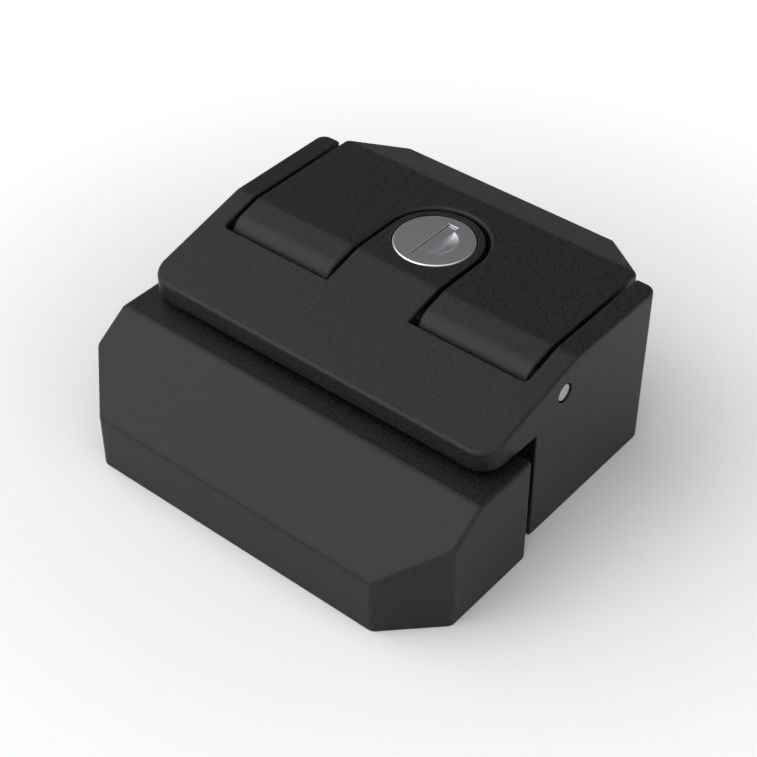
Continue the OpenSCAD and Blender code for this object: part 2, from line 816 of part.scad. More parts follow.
// Plan of the hollow under the lever: inside its walls and clear of its notch
module lever_hollow_plan() {
    front = pin_y + knuckle_r + pass_gap;
    inner_x = lever_x - lever_wall;
    inner_cut_x = lever_x - lever_cut_w - lever_wall * 0.4;
    inner_cut_y = lever_crest_y - lever_wall * 0.4;
    difference() {
        polygon([
            [-inner_x, front],
            [inner_x, front],
            [inner_x, inner_cut_y],
            [inner_cut_x, lip_y - lever_wall],
            [-inner_cut_x, lip_y - lever_wall],
            [-inner_x, inner_cut_y]
        ]);
        translate([0, cyl_y])
            circle(notch_r + lever_wall);
        translate([-notch_r - lever_wall, front - over])
            square([2 * (notch_r + lever_wall), cyl_y - front + over]);
        // Ribs
        for (x = [-rib_x, 0, rib_x])
            translate([x - rib_t / 2, front - over])
                square([rib_t, rear_y - front + over]);
        translate([-lever_x, rear_y - rib_t / 2])
            square([2 * lever_x, rib_t]);
    }
}

// The lever: a hollow moulding with two knuckles and two drive fingers
module lever_handle() {
    knuckle_front_y = pin_y - lever_edge_r;
    plan = [
        [-lever_x, knuckle_front_y, lever_edge_r], [lever_x, knuckle_front_y, lever_edge_r],
        [lever_x, lever_crest_y, lever_edge_r], [lever_x - lever_cut_w, lip_y, lever_edge_r],
        [-lever_x + lever_cut_w, lip_y, lever_edge_r], [-lever_x, lever_crest_y, lever_edge_r]
    ];
    roof = [
        lock_roof[0],
        lock_roof[1],
        [lock_h + lever_slope * lever_crest_y, -lever_slope]
    ];
    color([0.07, 0.07, 0.075])
        difference() {
            union() {
                difference() {
                    roofed_block(plan, roof, [lever_z, 0], lever_edge_r, true);
                    translate([0, 0, lever_z - over])
                        linear_extrude(lock_h)
                            tongue_plan(tongue_gap);
                    translate([0, 0, lever_z - over])
                        linear_extrude(lock_h - lever_wall - lever_z + over)
                            lever_hollow_plan();
                }
                for (side = [0, 1])
                    mirror([side, 0, 0])
                        translate([notch_r, pin_y, pin_z])
                            knuckle();
                both_sides(finger_x) {
                    slab(finger_w, pin_y - finger_t / 2, pin_y + finger_t / 2,
                        pin_z - finger_arm, pin_z - knuckle_r / 2);
                    translate([0, pin_y, pin_z - finger_arm])
                        cross_bar(finger_t / 2, finger_w);
                }
            }
            translate([0, pin_y, pin_z])
                cross_bar(pin_d / 2 + run_fit, 2 * lever_x + 2 * over);
            for (x = bush_places)
                translate([x, pin_y, pin_z])
                    cross_bar(bush_r, bush_l + 2 * eps);
            // Socket that the locking pin enters
            translate([0, cyl_y, lock_pin_z])
                rotate([0, 0, lock_pin_angle])
                    translate([notch_r - pass_gap, 0, 0])
                        rotate([0, 90, 0])
                            cylinder(r = lock_pin_d / 2 + 1.5 * slide_gap, h = lever_wall);
        }
}

module hinge_bushes() {
    color([0.85, 0.84, 0.8])
        for (x = bush_places)
            translate([x, pin_y, pin_z])
                difference() {
                    cross_bar(bush_r, bush_l);
                    cross_bar(pin_d / 2 + run_fit, bush_l + 2 * over);
                }
}

// Carriage that the lever's fingers draw back along the two rods
module bolt_carriage() {
    arm_top_z = rod_z + rod_d / 2 + carriage_wall;
    gusset_t = carriage_wall;
    color([0.25, 0.25, 0.27])
        difference() {
            union() {
                slab(2 * carriage_x, carriage_y, carriage_rear_y, carriage_floor_z, arm_top_z);
                slab(bolt_w + 2 * (slide_gap + carriage_wall), carriage_y, carriage_rear_y,
                    carriage_floor_z, carriage_top_z);
                both_sides(finger_x)
                    slab(2 * (carriage_x - finger_x), lug_y, carriage_rear_y, carriage_floor_z, lug_top_z);
                both_sides(finger_x)
                    slab(gusset_t, carriage_y + gusset_t, lug_y + eps, carriage_floor_z,
                        arm_top_z + gusset_t);
            }
            slab(bolt_w + 2 * slide_gap, carriage_y - over, carriage_rear_y + over,
                bolt_z - slide_gap, bolt_z + bolt_t + slide_gap);
            both_sides(rod_x)
                translate([0, carriage_y - over, rod_z])
                    long_bar(rod_d / 2 + run_fit, carriage_l + 2 * over);
        }
}

// Slam bolt: bevelled below at its tip, with a shoulder behind the carriage
module latch_bolt() {
    bevel_l = bolt_bite + pass_gap;
    edge = 0.5;
    inset = 4;
    top = bolt_z + bolt_t;
    color([0.72, 0.73, 0.75])
        difference() {
            union() {
                translate([-bolt_w / 2, 0, 0])
                    rotate([90, 0, 90])
                        linear_extrude(bolt_w)
                            polygon([
                                [bolt_tip_y + edge, top],
                                [bolt_tip_y, top - edge],
                                [bolt_tip_y, top - bolt_tip_t],
                                [bolt_tip_y + bevel_l, bolt_z],
                                [shoulder_y + eps, bolt_z],
                                [shoulder_y + eps, top]
                            ]);
                slab(bolt_w + 2 * (slide_gap + carriage_wall), shoulder_y, shoulder_y + shoulder_t,
                    bolt_z - slide_gap, top + slide_gap + carriage_wall / 2);
            }
            // Weight-saving pocket in the underside
            slab(bolt_w - 2 * inset, bolt_tip_y + bevel_l + inset / 2, shoulder_y - inset / 2,
                bolt_z - over, top - inset);
        }
}

// Radius of the cam track at an angle turned by the key
function cam_r(turned) = cam_low_r + lock_pin_travel * min(max(turned, 0), 90) / 90;

// Key plug, with the cam track of the locking pin near its top
module key_plug() {
    dwell = [12, 24]; // past rest, so that the pin's width clears the track's end
    ends = [dwell[1] + 10, -96];
    at = lock_pin_angle;
    cam_points = concat(
        [for (t = [90 : -cam_step : 0]) (cam_r(t) - slide_gap) * [cos(at - t), sin(at - t)]],
        [for (t = dwell) (cam_low_r - slide_gap) * [cos(at + t), sin(at + t)]],
        [for (t = [ends[0] : -10 : ends[1]]) (plug_d / 2 + over) * [cos(at + t), sin(at + t)]]
    );
    color([0.7, 0.6, 0.38])
        translate([0, cyl_y, 0])
            difference() {
                translate([0, 0, plug_z])
                    cylinder(d = plug_d, h = plug_top_z - plug_z);
                // Groove of the retaining clip
                translate([0, 0, clip_z - slide_gap / 4])
                    difference() {
                        cylinder(d = plug_d + over, h = clip_t + slide_gap / 2);
                        translate([0, 0, -over])
                            cylinder(r = clip_groove_r, h = clip_t + 2 * over);
                    }
                // Key way
                translate([-key_w / 2, -key_way_l / 2, sleeve_z + over])
                    cube([key_w, key_way_l, lock_h]);
                // Wafer slots
                for (i = [0 : wafer_n - 1])
                    translate([0, 0, wafer_z + i * wafer_pitch - slide_gap / 2])
                        slab(wafer_w + slide_gap, -plug_d, plug_d, 0, wafer_t + slide_gap);
                // Cam track
                translate([0, 0, cam_z])
                    linear_extrude(lock_pin_d + slide_gap)
                        polygon(cam_points);
            }
}

// Face disc with the closed key slot and a half-moon scoop beside it
module plug_face() {
    bevel = 0.4;
    r = disc_d / 2 - slide_gap * 0.6;
    color([0.62, 0.63, 0.65])
        translate([0, cyl_y, 0])
            difference() {
                translate([0, 0, plug_top_z])
                    rotate_extrude()
                        polygon([[0, 0], [r, 0], [r, disc_t - bevel], [r - bevel, disc_t], [0, disc_t]]);
                translate([-key_w / 2, -key_l / 2, plug_top_z - over])
                    cube([key_w, key_l, disc_t + 2 * over]);
                // Half-moon scoop, dished like a finger's end
                intersection() {
                    translate([key_w / 2 + slide_gap, -scoop_r, lock_h - scoop_depth])
                        cube([scoop_r, 2 * scoop_r, over]);
                    translate([0, 0, lock_h - scoop_depth + scoop_ball_r])
                        sphere(r = scoop_ball_r);
                }
            }
}

module plug_clip() {
    color([0.45, 0.46, 0.48])
        translate([0, cyl_y, clip_z])
            difference() {
                cylinder(r = plug_d / 2 + clip_rim, h = clip_t);
                translate([0, 0, -over])
                    cylinder(r = clip_groove_r + run_fit, h = clip_t + 2 * over);
                translate([-plug_d / 2 + clip_rim, -plug_d, -over])
                    cube([plug_d - 2 * clip_rim, plug_d, clip_t + 2 * over]);
            }
}

// Wafers in the position that a key brings them to, flush with the plug
module wafers() {
    color([0.78, 0.66, 0.36])
        for (i = [0 : wafer_n - 1])
            translate([0, cyl_y, wafer_z + i * wafer_pitch])
                difference() {
                    intersection() {
                        cylinder(r = plug_d / 2 - run_fit, h = wafer_t);
                        translate([-wafer_w / 2, -plug_d, -over])
                            cube([wafer_w, 2 * plug_d, wafer_t + 2 * over]);
                    }
                    translate([-(key_w + slide_gap) / 2, -(key_way_l + slide_gap) / 2, -over])
                        cube([key_w + slide_gap, key_way_l + slide_gap, wafer_t + 2 * over]);
                }
}

// Dust shutter that closes the key slot and drops beside the key
module key_shutter() {
    gap = slide_gap * 0.6;
    color([0.5, 0.51, 0.53])
        translate([-key_w / 2 + gap, cyl_y - key_l / 2 + gap, shutter_z - shutter_t])
            cube([key_w - 2 * gap, key_l - 2 * gap, shutter_t]);
}

// Pin that the key drives out of the tongue into the lever's socket
module locking_pin() {
    tip = cam_low_r + run_fit;
    r = lock_pin_d / 2;
    end_bevel = 0.3;
    color([0.8, 0.8, 0.82])
        translate([0, cyl_y, lock_pin_z])
            rotate([0, 0, lock_pin_angle])
                rotate([0, 90, 0])
                    rotate_extrude()
                        polygon([
                            [0, tip], [r / 3, tip], [r, tip + r * 2 / 3],
                            [r, tongue_r], [r - end_bevel, tongue_r + end_bevel],
                            [0, tongue_r + end_bevel]
                        ]);
}

// Keeper moulding: hollow from below, with the bolt pocket's mouth in its rear wall
module keeper_shell() {
    nose_z = keeper_nose_h - keeper_slope * keeper_front_y;
    inner = plan_ring(keeper_plan, keeper_wall);
    color([0.1, 0.1, 0.105])
        difference() {
            roofed_block(keeper_plan, [[nose_z, keeper_slope], [keeper_h, 0]], [0, 0],
                keeper_edge_r, false);
            difference() {
                keeper_hollow(inner);
                keeper_stiffeners();
            }
            linear_extrude(2 * base_t, center = true)
                polygon(inner);
            // Mouth of the pocket
            slab(2 * pocket_x, keeper_rear_y - keeper_wall - over, keeper_rear_y + over,
                -over, pocket_top_z);
            four_posts(keeper_fix_x, keeper_fix_y, keeper_fix_mid_y)
                translate([0, 0, -over])
                    cylinder(d = insert_d, h = insert_l + over);
            both_sides(keeper_screw_x)
                translate([0, keeper_fix_mid_y, 0])
                    cylinder(d = screw_d, h = screw_l + pass_gap);
        }
}

// What is left standing in the keeper's hollow: posts, screw posts, and ribs round the strike box
module keeper_stiffeners() {
    four_posts(keeper_fix_x, keeper_fix_y, keeper_fix_mid_y)
        cylinder(d = post_d, h = keeper_h);
    both_sides(keeper_screw_x)
        translate([0, keeper_fix_mid_y, 0])
            cylinder(d = screw_post_d, h = keeper_h);
    both_sides(pocket_x + strike_t + keeper_rib_t / 2)
        slab(keeper_rib_t, keeper_front_y, keeper_rear_y, 0, keeper_h);
    for (y = [keeper_rear_y - pocket_l - strike_t - keeper_rib_t, keeper_fix_mid_y])
        difference() {
            slab(keeper_w, y, y + keeper_rib_t, 0, keeper_h);
            slab(2 * (pocket_x + strike_t), y + eps, keeper_rear_y, -over, pocket_top_z + strike_t);
        }
}

// Hollow of the keeper, under its slope and its flat top
module keeper_hollow(ring) {
    depth = keeper_d + over;
    drop = keeper_wall * sqrt(1 + keeper_slope * keeper_slope);
    intersection() {
        translate([0, 0, -over])
            linear_extrude(keeper_h - keeper_wall + over)
                polygon(ring);
        translate([-keeper_w / 2, 0, 0])
            rotate([90, 0, 90])
                linear_extrude(keeper_w)
                    polygon([
                        [keeper_front_y - over, -2 * over],
                        [keeper_front_y - over, keeper_nose_h - keeper_slope * over - drop],
                        [keeper_front_y + depth, keeper_nose_h + keeper_slope * depth - drop],
                        [keeper_front_y + depth, -2 * over]
                    ]);
    }
}

module keeper_base() {
    color([0.55, 0.56, 0.58])
        difference() {
            linear_extrude(base_t)
                polygon(plan_ring(keeper_plan, keeper_wall + rim_gap));
            four_posts(keeper_fix_x, keeper_fix_y, keeper_fix_mid_y)
                translate([0, 0, -over])
                    cylinder(d = insert_d + 2 * rim_gap, h = base_t + 2 * over);
            both_sides(keeper_screw_x)
                translate([0, keeper_fix_mid_y, 0])
                    screw_seat();
        }
}

module keeper_screws() {
    color([0.7, 0.7, 0.72])
        both_sides(keeper_screw_x)
            translate([0, keeper_fix_mid_y, 0])
                base_screw();
}

module keeper_inserts() {
    color([0.75, 0.6, 0.3])
        four_posts(keeper_fix_x, keeper_fix_y, keeper_fix_mid_y)
            insert();
}

// Folded steel box that the latch bolt engages under, open towards the lock body
module strike_box() {
    front = keeper_rear_y - pocket_l;
    rear = keeper_rear_y - keeper_wall - rim_gap;
    color([0.66, 0.67, 0.69])
        difference() {
            slab(2 * (pocket_x + strike_t), front - strike_t, rear, base_t, pocket_top_z + strike_t);
            slab(2 * pocket_x, front, rear + over, base_t - over, pocket_top_z);
        }
}

housing_shell();
chassis_plate();
chassis_screws();
lock_inserts();
hinge_pin();
bolt_bezel();
lever_buffers();
guide_rods();
rod_clips();
carriage_springs();
bolt_springs();
lock_sleeve();
lock_nut();
lever_handle();
hinge_bushes();
bolt_carriage();
latch_bolt();
key_plug();
plug_face();
plug_clip();
wafers();
key_shutter();
locking_pin();
keeper_shell();
keeper_base();
keeper_screws();
keeper_inserts();
strike_box();
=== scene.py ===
import math

import bmesh
import bpy
from mathutils import Matrix, Vector


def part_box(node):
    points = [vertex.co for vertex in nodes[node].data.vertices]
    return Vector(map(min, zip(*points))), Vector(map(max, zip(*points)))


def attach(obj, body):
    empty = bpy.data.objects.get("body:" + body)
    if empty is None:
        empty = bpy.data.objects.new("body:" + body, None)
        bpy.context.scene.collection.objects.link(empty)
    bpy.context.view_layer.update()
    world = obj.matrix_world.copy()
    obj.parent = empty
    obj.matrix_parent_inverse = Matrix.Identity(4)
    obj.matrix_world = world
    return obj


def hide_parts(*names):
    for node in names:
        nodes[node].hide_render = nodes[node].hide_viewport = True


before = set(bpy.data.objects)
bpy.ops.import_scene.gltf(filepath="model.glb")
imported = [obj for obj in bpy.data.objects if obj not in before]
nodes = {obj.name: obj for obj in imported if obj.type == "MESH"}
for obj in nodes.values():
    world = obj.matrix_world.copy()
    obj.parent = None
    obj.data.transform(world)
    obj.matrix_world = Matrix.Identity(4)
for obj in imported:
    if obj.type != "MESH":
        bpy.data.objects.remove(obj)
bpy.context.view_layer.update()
mm = 0.001
print("frame loaded:", len(nodes), "nodes")


def nodeBox(node):  # corners of a CAD node, in millimetres
    low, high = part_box(node)
    return low / mm, high / mm


def centreOf(node):
    low, high = nodeBox(node)
    return [(a + b) / 2 for a, b in zip(low, high)]


def pinRadius():
    low, high = nodeBox("hinge_pin")
    return (high.z - low.z) / 2


# Camera first: its place, aim and lens were fitted to the photo's corners
view = {
    "place": (159.5, -204.8, 227.4),
    "aim": (3.05, -16.24, 16.0),
    "lens": 82.82,
    "sensor": 36.0,
    "clip": (0.01, 50),
}


def makeCamera():
    data = bpy.data.cameras.new("camera")
    data.lens = view["lens"]
    data.sensor_width = view["sensor"]
    data.clip_start, data.clip_end = view["clip"]
    camera = bpy.data.objects.new("camera", data)
    camera.location = Vector(view["place"]) * mm
    aim = (Vector(view["aim"]) - Vector(view["place"])).to_track_quat("-Z", "Y")
    camera.rotation_euler = aim.to_euler()
    bpy.context.scene.collection.objects.link(camera)
    bpy.context.scene.camera = camera


makeCamera()


# Mesh helpers, all in millimetres. Angles are in degrees
meshing = {
    "merge": 0.002,  # vertices closer than this become one
    "flat": 0.2,  # faces that turn less than this are one face
    "blunt": 12,  # edges that turn less than this stay as they are
    "sharp": 50,  # and those that turn more are broken after a cut
    "crease": 35,  # shading stays sharp above this
    "upright": 0.99,
    "touch": 0.01,  # edges this close to the floor count as its edges
    "fineSides": 96,  # of the bores that are seen
    "seatSides": 32,
    "smallSides": 24,
    "roundSteps": 48,  # of the half circles round the cylinder
    "cornerSteps": 10,
    "edgeSteps": 7,
    "breakSteps": 3,
}
cutPast = 1  # how far a cutter starts outside the face it cuts
beyond = 60  # far enough to pass right through any piece


def asObject(name, bm):
    bmesh.ops.recalc_face_normals(bm, faces=bm.faces)
    if bm.calc_volume(signed=True) < 0:  # long thin bars come out inside out
        bmesh.ops.reverse_faces(bm, faces=bm.faces)
    mesh = bpy.data.meshes.new(name)
    bm.to_mesh(mesh)
    bm.free()
    obj = bpy.data.objects.new(name, mesh)
    bpy.context.scene.collection.objects.link(obj)
    return obj


def arc(centre, radius, start, end, steps):  # points of an arc, angles in degrees
    angles = [math.radians(start + (end - start) * k / steps) for k in range(steps + 1)]
    return [(centre[0] + radius * math.cos(a), centre[1] + radius * math.sin(a)) for a in angles]


def prism(name, outline, low, high, axis="z"):  # an outline pushed along one axis
    place = {
        "x": lambda a, b, h: (h, a, b),
        "z": lambda a, b, h: (a, b, h),
    }[axis]
    bm = bmesh.new()
    rings = [[bm.verts.new(place(a, b, h)) for a, b in outline] for h in (low, high)]
    bm.faces.new(rings[0])
    bm.faces.new(rings[1])
    for i in range(len(outline)):
        j = (i + 1) % len(outline)
        bm.faces.new((rings[0][i], rings[0][j], rings[1][j], rings[1][i]))
    return asObject(name, bm)


def block(name, x, y, z):  # a box from three spans
    outline = [(x[0], y[0]), (x[1], y[0]), (x[1], y[1]), (x[0], y[1])]
    return prism(name, outline, z[0], z[1])


def rod(name, start, end, radius, sides=48):  # a round bar between two points
    start, end = Vector(start), Vector(end)
    bm = bmesh.new()
    bmesh.ops.create_cone(
        bm, cap_ends=True, segments=sides, radius1=radius, radius2=radius, depth=(end - start).length,
    )
    turn = (end - start).to_track_quat("Z", "Y").to_matrix().to_4x4()
    bm.transform(Matrix.Translation((start + end) / 2) @ turn)
    return asObject(name, bm)


def settle(obj):  # the modifiers become the mesh
    scene = bpy.context.evaluated_depsgraph_get()
    mesh = bpy.data.meshes.new_from_object(obj.evaluated_get(scene))
    obj.modifiers.clear()
    obj.data = mesh
    return obj


def combine(obj, others, how):
    for other in others:
        cut = obj.modifiers.new("cut", "BOOLEAN")
        cut.operation = how
        cut.solver = "EXACT"
        cut.object = other
    bpy.context.view_layer.update()
    settle(obj)
    for other in others:
        bpy.data.objects.remove(other)
    return obj


def carve(obj, others):
    return combine(obj, others, "DIFFERENCE")


def weld(obj, others):
    return combine(obj, others, "UNION")


def tidyFaces(bm):  # joins the flat faces that a cut left in pieces
    bmesh.ops.remove_doubles(bm, verts=bm.verts, dist=meshing["merge"])
    bmesh.ops.dissolve_limit(
        bm, angle_limit=math.radians(meshing["flat"]), use_dissolve_boundaries=False,
        verts=bm.verts, edges=bm.edges,
    )


def roundEdges(obj, radius, segments, crest=0.5, clamp=False, chosen=lambda edge: True):
    # Every outer edge gets the radius, however blunt it is, and shallow crests at least their own softness
    bm = bmesh.new()
    bm.from_mesh(obj.data)
    tidyFaces(bm)
    weight = bm.edges.layers.float.new("bevel_weight_edge")
    for edge in bm.edges:
        if len(edge.link_faces) == 2 and edge.is_convex and chosen(edge):
            turn = edge.calc_face_angle()
            if turn > math.radians(meshing["blunt"]):
                edge[weight] = min(1.0, max(math.tan(turn / 2), crest / radius))
    bm.to_mesh(obj.data)
    bm.free()
    soft = obj.modifiers.new("soft", "BEVEL")
    soft.limit_method = "WEIGHT"
    soft.offset_type = "OFFSET"
    soft.width = radius
    soft.segments = segments
    soft.use_clamp_overlap = clamp
    return settle(obj)


def turnEdges(obj, radius, segments, chosen):  # rounds chosen edges by themselves, before the others
    bm = bmesh.new()
    bm.from_mesh(obj.data)
    edges = [e for e in bm.edges if chosen((e.verts[0].co + e.verts[1].co) / 2, e)]
    bmesh.ops.bevel(
        bm, geom=edges, offset=radius, offset_type="OFFSET", segments=segments, profile=0.5, affect="EDGES",
    )
    bm.to_mesh(obj.data)
    bm.free()
    return obj


def breakEdges(obj, width, segments, chosen):  # small break on the sharp edges that cuts left
    bm = bmesh.new()
    bm.from_mesh(obj.data)
    tidyFaces(bm)
    edges = [
        e for e in bm.edges
        if len(e.link_faces) == 2 and e.is_convex and e.calc_face_angle() > math.radians(meshing["sharp"])
        and chosen((e.verts[0].co + e.verts[1].co) / 2)
    ]
    bmesh.ops.bevel(
        bm, geom=edges, offset=width, offset_type="OFFSET", segments=segments, profile=0.5,
        affect="EDGES", clamp_overlap=False,
    )
    bm.to_mesh(obj.data)
    bm.free()
    return obj


def isUpright(edge):
    along = edge.verts[1].co - edge.verts[0].co
    return abs(along.z) > meshing["upright"] * along.length


def finishPiece(obj, body, node, finish, crease=meshing["crease"]):
    obj.data.transform(Matrix.Scale(mm, 4))
    obj.data.polygons.foreach_set("use_smooth", [True] * len(obj.data.polygons))
    obj.data.set_sharp_from_angle(angle=math.radians(crease))
    even = obj.modifiers.new("evenShading", "WEIGHTED_NORMAL")
    even.keep_sharp = True
    obj.data.materials.clear()
    obj.data.materials.append(finish)
    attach(obj, body)
    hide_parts(node)
    return obj


# Shader helpers
def newGroup(name, inputs, outputs):
    group = bpy.data.node_groups.new(name, "ShaderNodeTree")
    for label, kind, value in inputs:
        socket = group.interface.new_socket(label, in_out="INPUT", socket_type=kind)
        socket.default_value = value
    for label, kind in outputs:
        group.interface.new_socket(label, in_out="OUTPUT", socket_type=kind)
    return group, group.nodes.new("NodeGroupInput"), group.nodes.new("NodeGroupOutput")


def addNode(tree, kind, values=None, **settings):
    node = tree.nodes.new("ShaderNode" + kind)
    for key, value in settings.items():
        setattr(node, key, value)
    for key, value in (values or {}).items():
        node.inputs[key].default_value = value
    return node


def join(tree, source, target):
    tree.links.new(source, target)


texture = {  # spans of the noises and edge angles that become masks
    "peaks": (0.42, 0.68),
    "edge": (0.995, 0.86),
    "patches": (0.35, 0.65),
    "streaks": (0.35, 0.65),
    "edgeSamples": 6,
    "edgeGloss": -0.12,  # a rubbed coat is this much less rough
    "edgeLift": 1.25,  # and rubbed metal this much lighter
    "rippleShare": 0.25,
    "metalWear": 0.3,
    "metalEdge": 0.0004,
}


def maskFrom(tree, value, span):
    mask = addNode(tree, "MapRange", {"From Min": span[0], "From Max": span[1]}, clamp=True)
    join(tree, value, mask.inputs["Value"])
    return mask.outputs["Result"]


def makeGrain():
    # Fine two-scale grain of a powder coat, moulded rubber or a casting: a height and a mask of its peaks
    number = "NodeSocketFloat"
    group, entry, exit = newGroup(
        "grain",
        [("Grain Size", number, 0.00025), ("Ripple Size", number, 0.0012), ("Ripple Share", number, 0.3)],
        [("Height", number), ("Peaks", number)],
    )
    place = addNode(group, "TexCoord")
    noises = []
    for label, detail in (("Grain Size", 3.0), ("Ripple Size", 2.0)):
        scale = addNode(group, "Math", {0: 1.0}, operation="DIVIDE")
        join(group, entry.outputs[label], scale.inputs[1])
        noise = addNode(group, "TexNoise", {"Detail": detail, "Roughness": 0.6})
        join(group, place.outputs["Object"], noise.inputs["Vector"])
        join(group, scale.outputs[0], noise.inputs["Scale"])
        noises.append(noise)
    blend = addNode(group, "Mix")
    join(group, entry.outputs["Ripple Share"], blend.inputs["Factor"])
    join(group, noises[0].outputs["Fac"], blend.inputs["A"])
    join(group, noises[1].outputs["Fac"], blend.inputs["B"])
    join(group, blend.outputs["Result"], exit.inputs["Height"])
    join(group, maskFrom(group, noises[0].outputs["Fac"], texture["peaks"]), exit.inputs["Peaks"])
    return group


def makeEdgeWearAndHighlight():
    # Mask of the outer edges, broken up by a noise: where a finish rubs thin, and where the edges get a
    # painted highlight
    number = "NodeSocketFloat"
    group, entry, exit = newGroup(
        "edgeWearAndHighlight",
        [("Radius", number, 0.0006), ("Patch Size", number, 0.004), ("Amount", number, 0.5)],
        [("Mask", number)],
    )
    rounded = addNode(group, "Bevel", samples=texture["edgeSamples"])
    join(group, entry.outputs["Radius"], rounded.inputs["Radius"])
    true = addNode(group, "NewGeometry")
    match = addNode(group, "VectorMath", operation="DOT_PRODUCT")
    join(group, rounded.outputs["Normal"], match.inputs[0])
    join(group, true.outputs["Normal"], match.inputs[1])
    edge = maskFrom(group, match.outputs["Value"], texture["edge"])
    place = addNode(group, "TexCoord")
    scale = addNode(group, "Math", {0: 1.0}, operation="DIVIDE")
    join(group, entry.outputs["Patch Size"], scale.inputs[1])
    patches = addNode(group, "TexNoise", {"Detail": 4.0, "Roughness": 0.7})
    join(group, place.outputs["Object"], patches.inputs["Vector"])
    join(group, scale.outputs[0], patches.inputs["Scale"])
    wornAndHighlight = addNode(group, "Math", operation="MULTIPLY")
    join(group, edge, wornAndHighlight.inputs[0])
    join(group, maskFrom(group, patches.outputs["Fac"], texture["patches"]), wornAndHighlight.inputs[1])
    amount = addNode(group, "Math", operation="MULTIPLY")
    join(group, wornAndHighlight.outputs[0], amount.inputs[0])
    join(group, entry.outputs["Amount"], amount.inputs[1])
    join(group, amount.outputs[0], exit.inputs["Mask"])
    return group


def makeBrush():
    # Fine parallel scratches: a height and a streak mask, stretched along one axis
    number = "NodeSocketFloat"
    group, entry, exit = newGroup(
        "brush",
        [("Stretch", "NodeSocketVector", (1.0, 1.0, 1.0)), ("Fineness", number, 9000.0)],
        [("Height", number), ("Streaks", number)],
    )
    place = addNode(group, "TexCoord")
    stretched = addNode(group, "VectorMath", operation="MULTIPLY")
    join(group, place.outputs["Object"], stretched.inputs[0])
    join(group, entry.outputs["Stretch"], stretched.inputs[1])
    noise = addNode(group, "TexNoise", {"Detail": 3.0, "Roughness": 0.65})
    join(group, stretched.outputs["Vector"], noise.inputs["Vector"])
    join(group, entry.outputs["Fineness"], noise.inputs["Scale"])
    join(group, noise.outputs["Fac"], exit.inputs["Height"])
    join(group, maskFrom(group, noise.outputs["Fac"], texture["streaks"]), exit.inputs["Streaks"])
    return group


grain = makeGrain()
edgeWearAndHighlight = makeEdgeWearAndHighlight()
brush = makeBrush()


def placeGroup(tree, group, values):
    node = tree.nodes.new("ShaderNodeGroup")
    node.node_tree = group
    for key, value in values.items():
        node.inputs[key].default_value = value
    return node


def newMaterial(name, **plain):
    material = bpy.data.materials.new(name)
    material.use_nodes = True
    tree = material.node_tree
    shader = tree.nodes["Principled BSDF"]
    for key, value in plain.items():
        shader.inputs[key.replace("_", " ")].default_value = value
    return material, tree, shader


def mixColours(tree, factor, low, high):
    mix = addNode(tree, "Mix", data_type="RGBA")
    mix.inputs["A"].default_value = (*low, 1)
    mix.inputs["B"].default_value = (*high, 1)
    join(tree, factor, mix.inputs["Factor"])
    return mix


def bumpFrom(tree, height, shader, depth):
    bump = addNode(tree, "Bump", {"Strength": 1.0, "Distance": depth})
    join(tree, height, bump.inputs["Height"])
    join(tree, bump.outputs["Normal"], shader.inputs["Normal"])
    return bump


def coated(name, low, high, wornAndHighlight, rough, depth, wearAndHighlight, grainSize, specular=0.5):
    # Powder coat or moulded black: grain in colour, gloss and height, and edges lighter in colour, partly
    # rubbed wear and partly a painted highlight
    material, tree, shader = newMaterial(name, Specular_IOR_Level=specular)
    fine = placeGroup(tree, grain, {"Grain Size": grainSize, "Ripple Share": texture["rippleShare"]})
    edges = placeGroup(tree, edgeWearAndHighlight, {"Amount": wearAndHighlight})
    body = mixColours(tree, fine.outputs["Peaks"], low, high)
    shown = addNode(tree, "Mix", data_type="RGBA")
    shown.inputs["B"].default_value = (*wornAndHighlight, 1)
    join(tree, body.outputs["Result"], shown.inputs["A"])
    # painted highlight and wear: the edge mask lightens the colour along the edges
    join(tree, edges.outputs["Mask"], shown.inputs["Factor"])
    join(tree, shown.outputs["Result"], shader.inputs["Base Color"])
    gloss = addNode(tree, "MapRange", {"To Min": rough[0], "To Max": rough[1]})
    join(tree, fine.outputs["Peaks"], gloss.inputs["Value"])
    rubbed = addNode(tree, "Math", {1: texture["edgeGloss"]}, operation="MULTIPLY_ADD")
    join(tree, edges.outputs["Mask"], rubbed.inputs[0])
    join(tree, gloss.outputs["Result"], rubbed.inputs[2])
    join(tree, rubbed.outputs[0], shader.inputs["Roughness"])
    bumpFrom(tree, fine.outputs["Height"], shader, depth)
    return material


def metal(name, low, high, rough, stretch, fineness, depth=0.000004):
    # Turned, drawn or plated metal with fine streaks
    material, tree, shader = newMaterial(name, Metallic=1.0)
    lines = placeGroup(tree, brush, {"Stretch": stretch, "Fineness": fineness})
    edges = placeGroup(tree, edgeWearAndHighlight, {"Amount": texture["metalWear"], "Radius": texture["metalEdge"]})
    body = mixColours(tree, lines.outputs["Streaks"], low, high)
    bright = addNode(tree, "Mix", data_type="RGBA")
    bright.inputs["B"].default_value = (*[min(1.0, c * texture["edgeLift"]) for c in high], 1)
    join(tree, body.outputs["Result"], bright.inputs["A"])
    join(tree, edges.outputs["Mask"], bright.inputs["Factor"])
    join(tree, bright.outputs["Result"], shader.inputs["Base Color"])
    gloss = addNode(tree, "MapRange", {"To Min": rough[0], "To Max": rough[1]})
    join(tree, lines.outputs["Streaks"], gloss.inputs["Value"])
    join(tree, gloss.outputs["Result"], shader.inputs["Roughness"])
    bumpFrom(tree, lines.outputs["Height"], shader, depth)
    return material


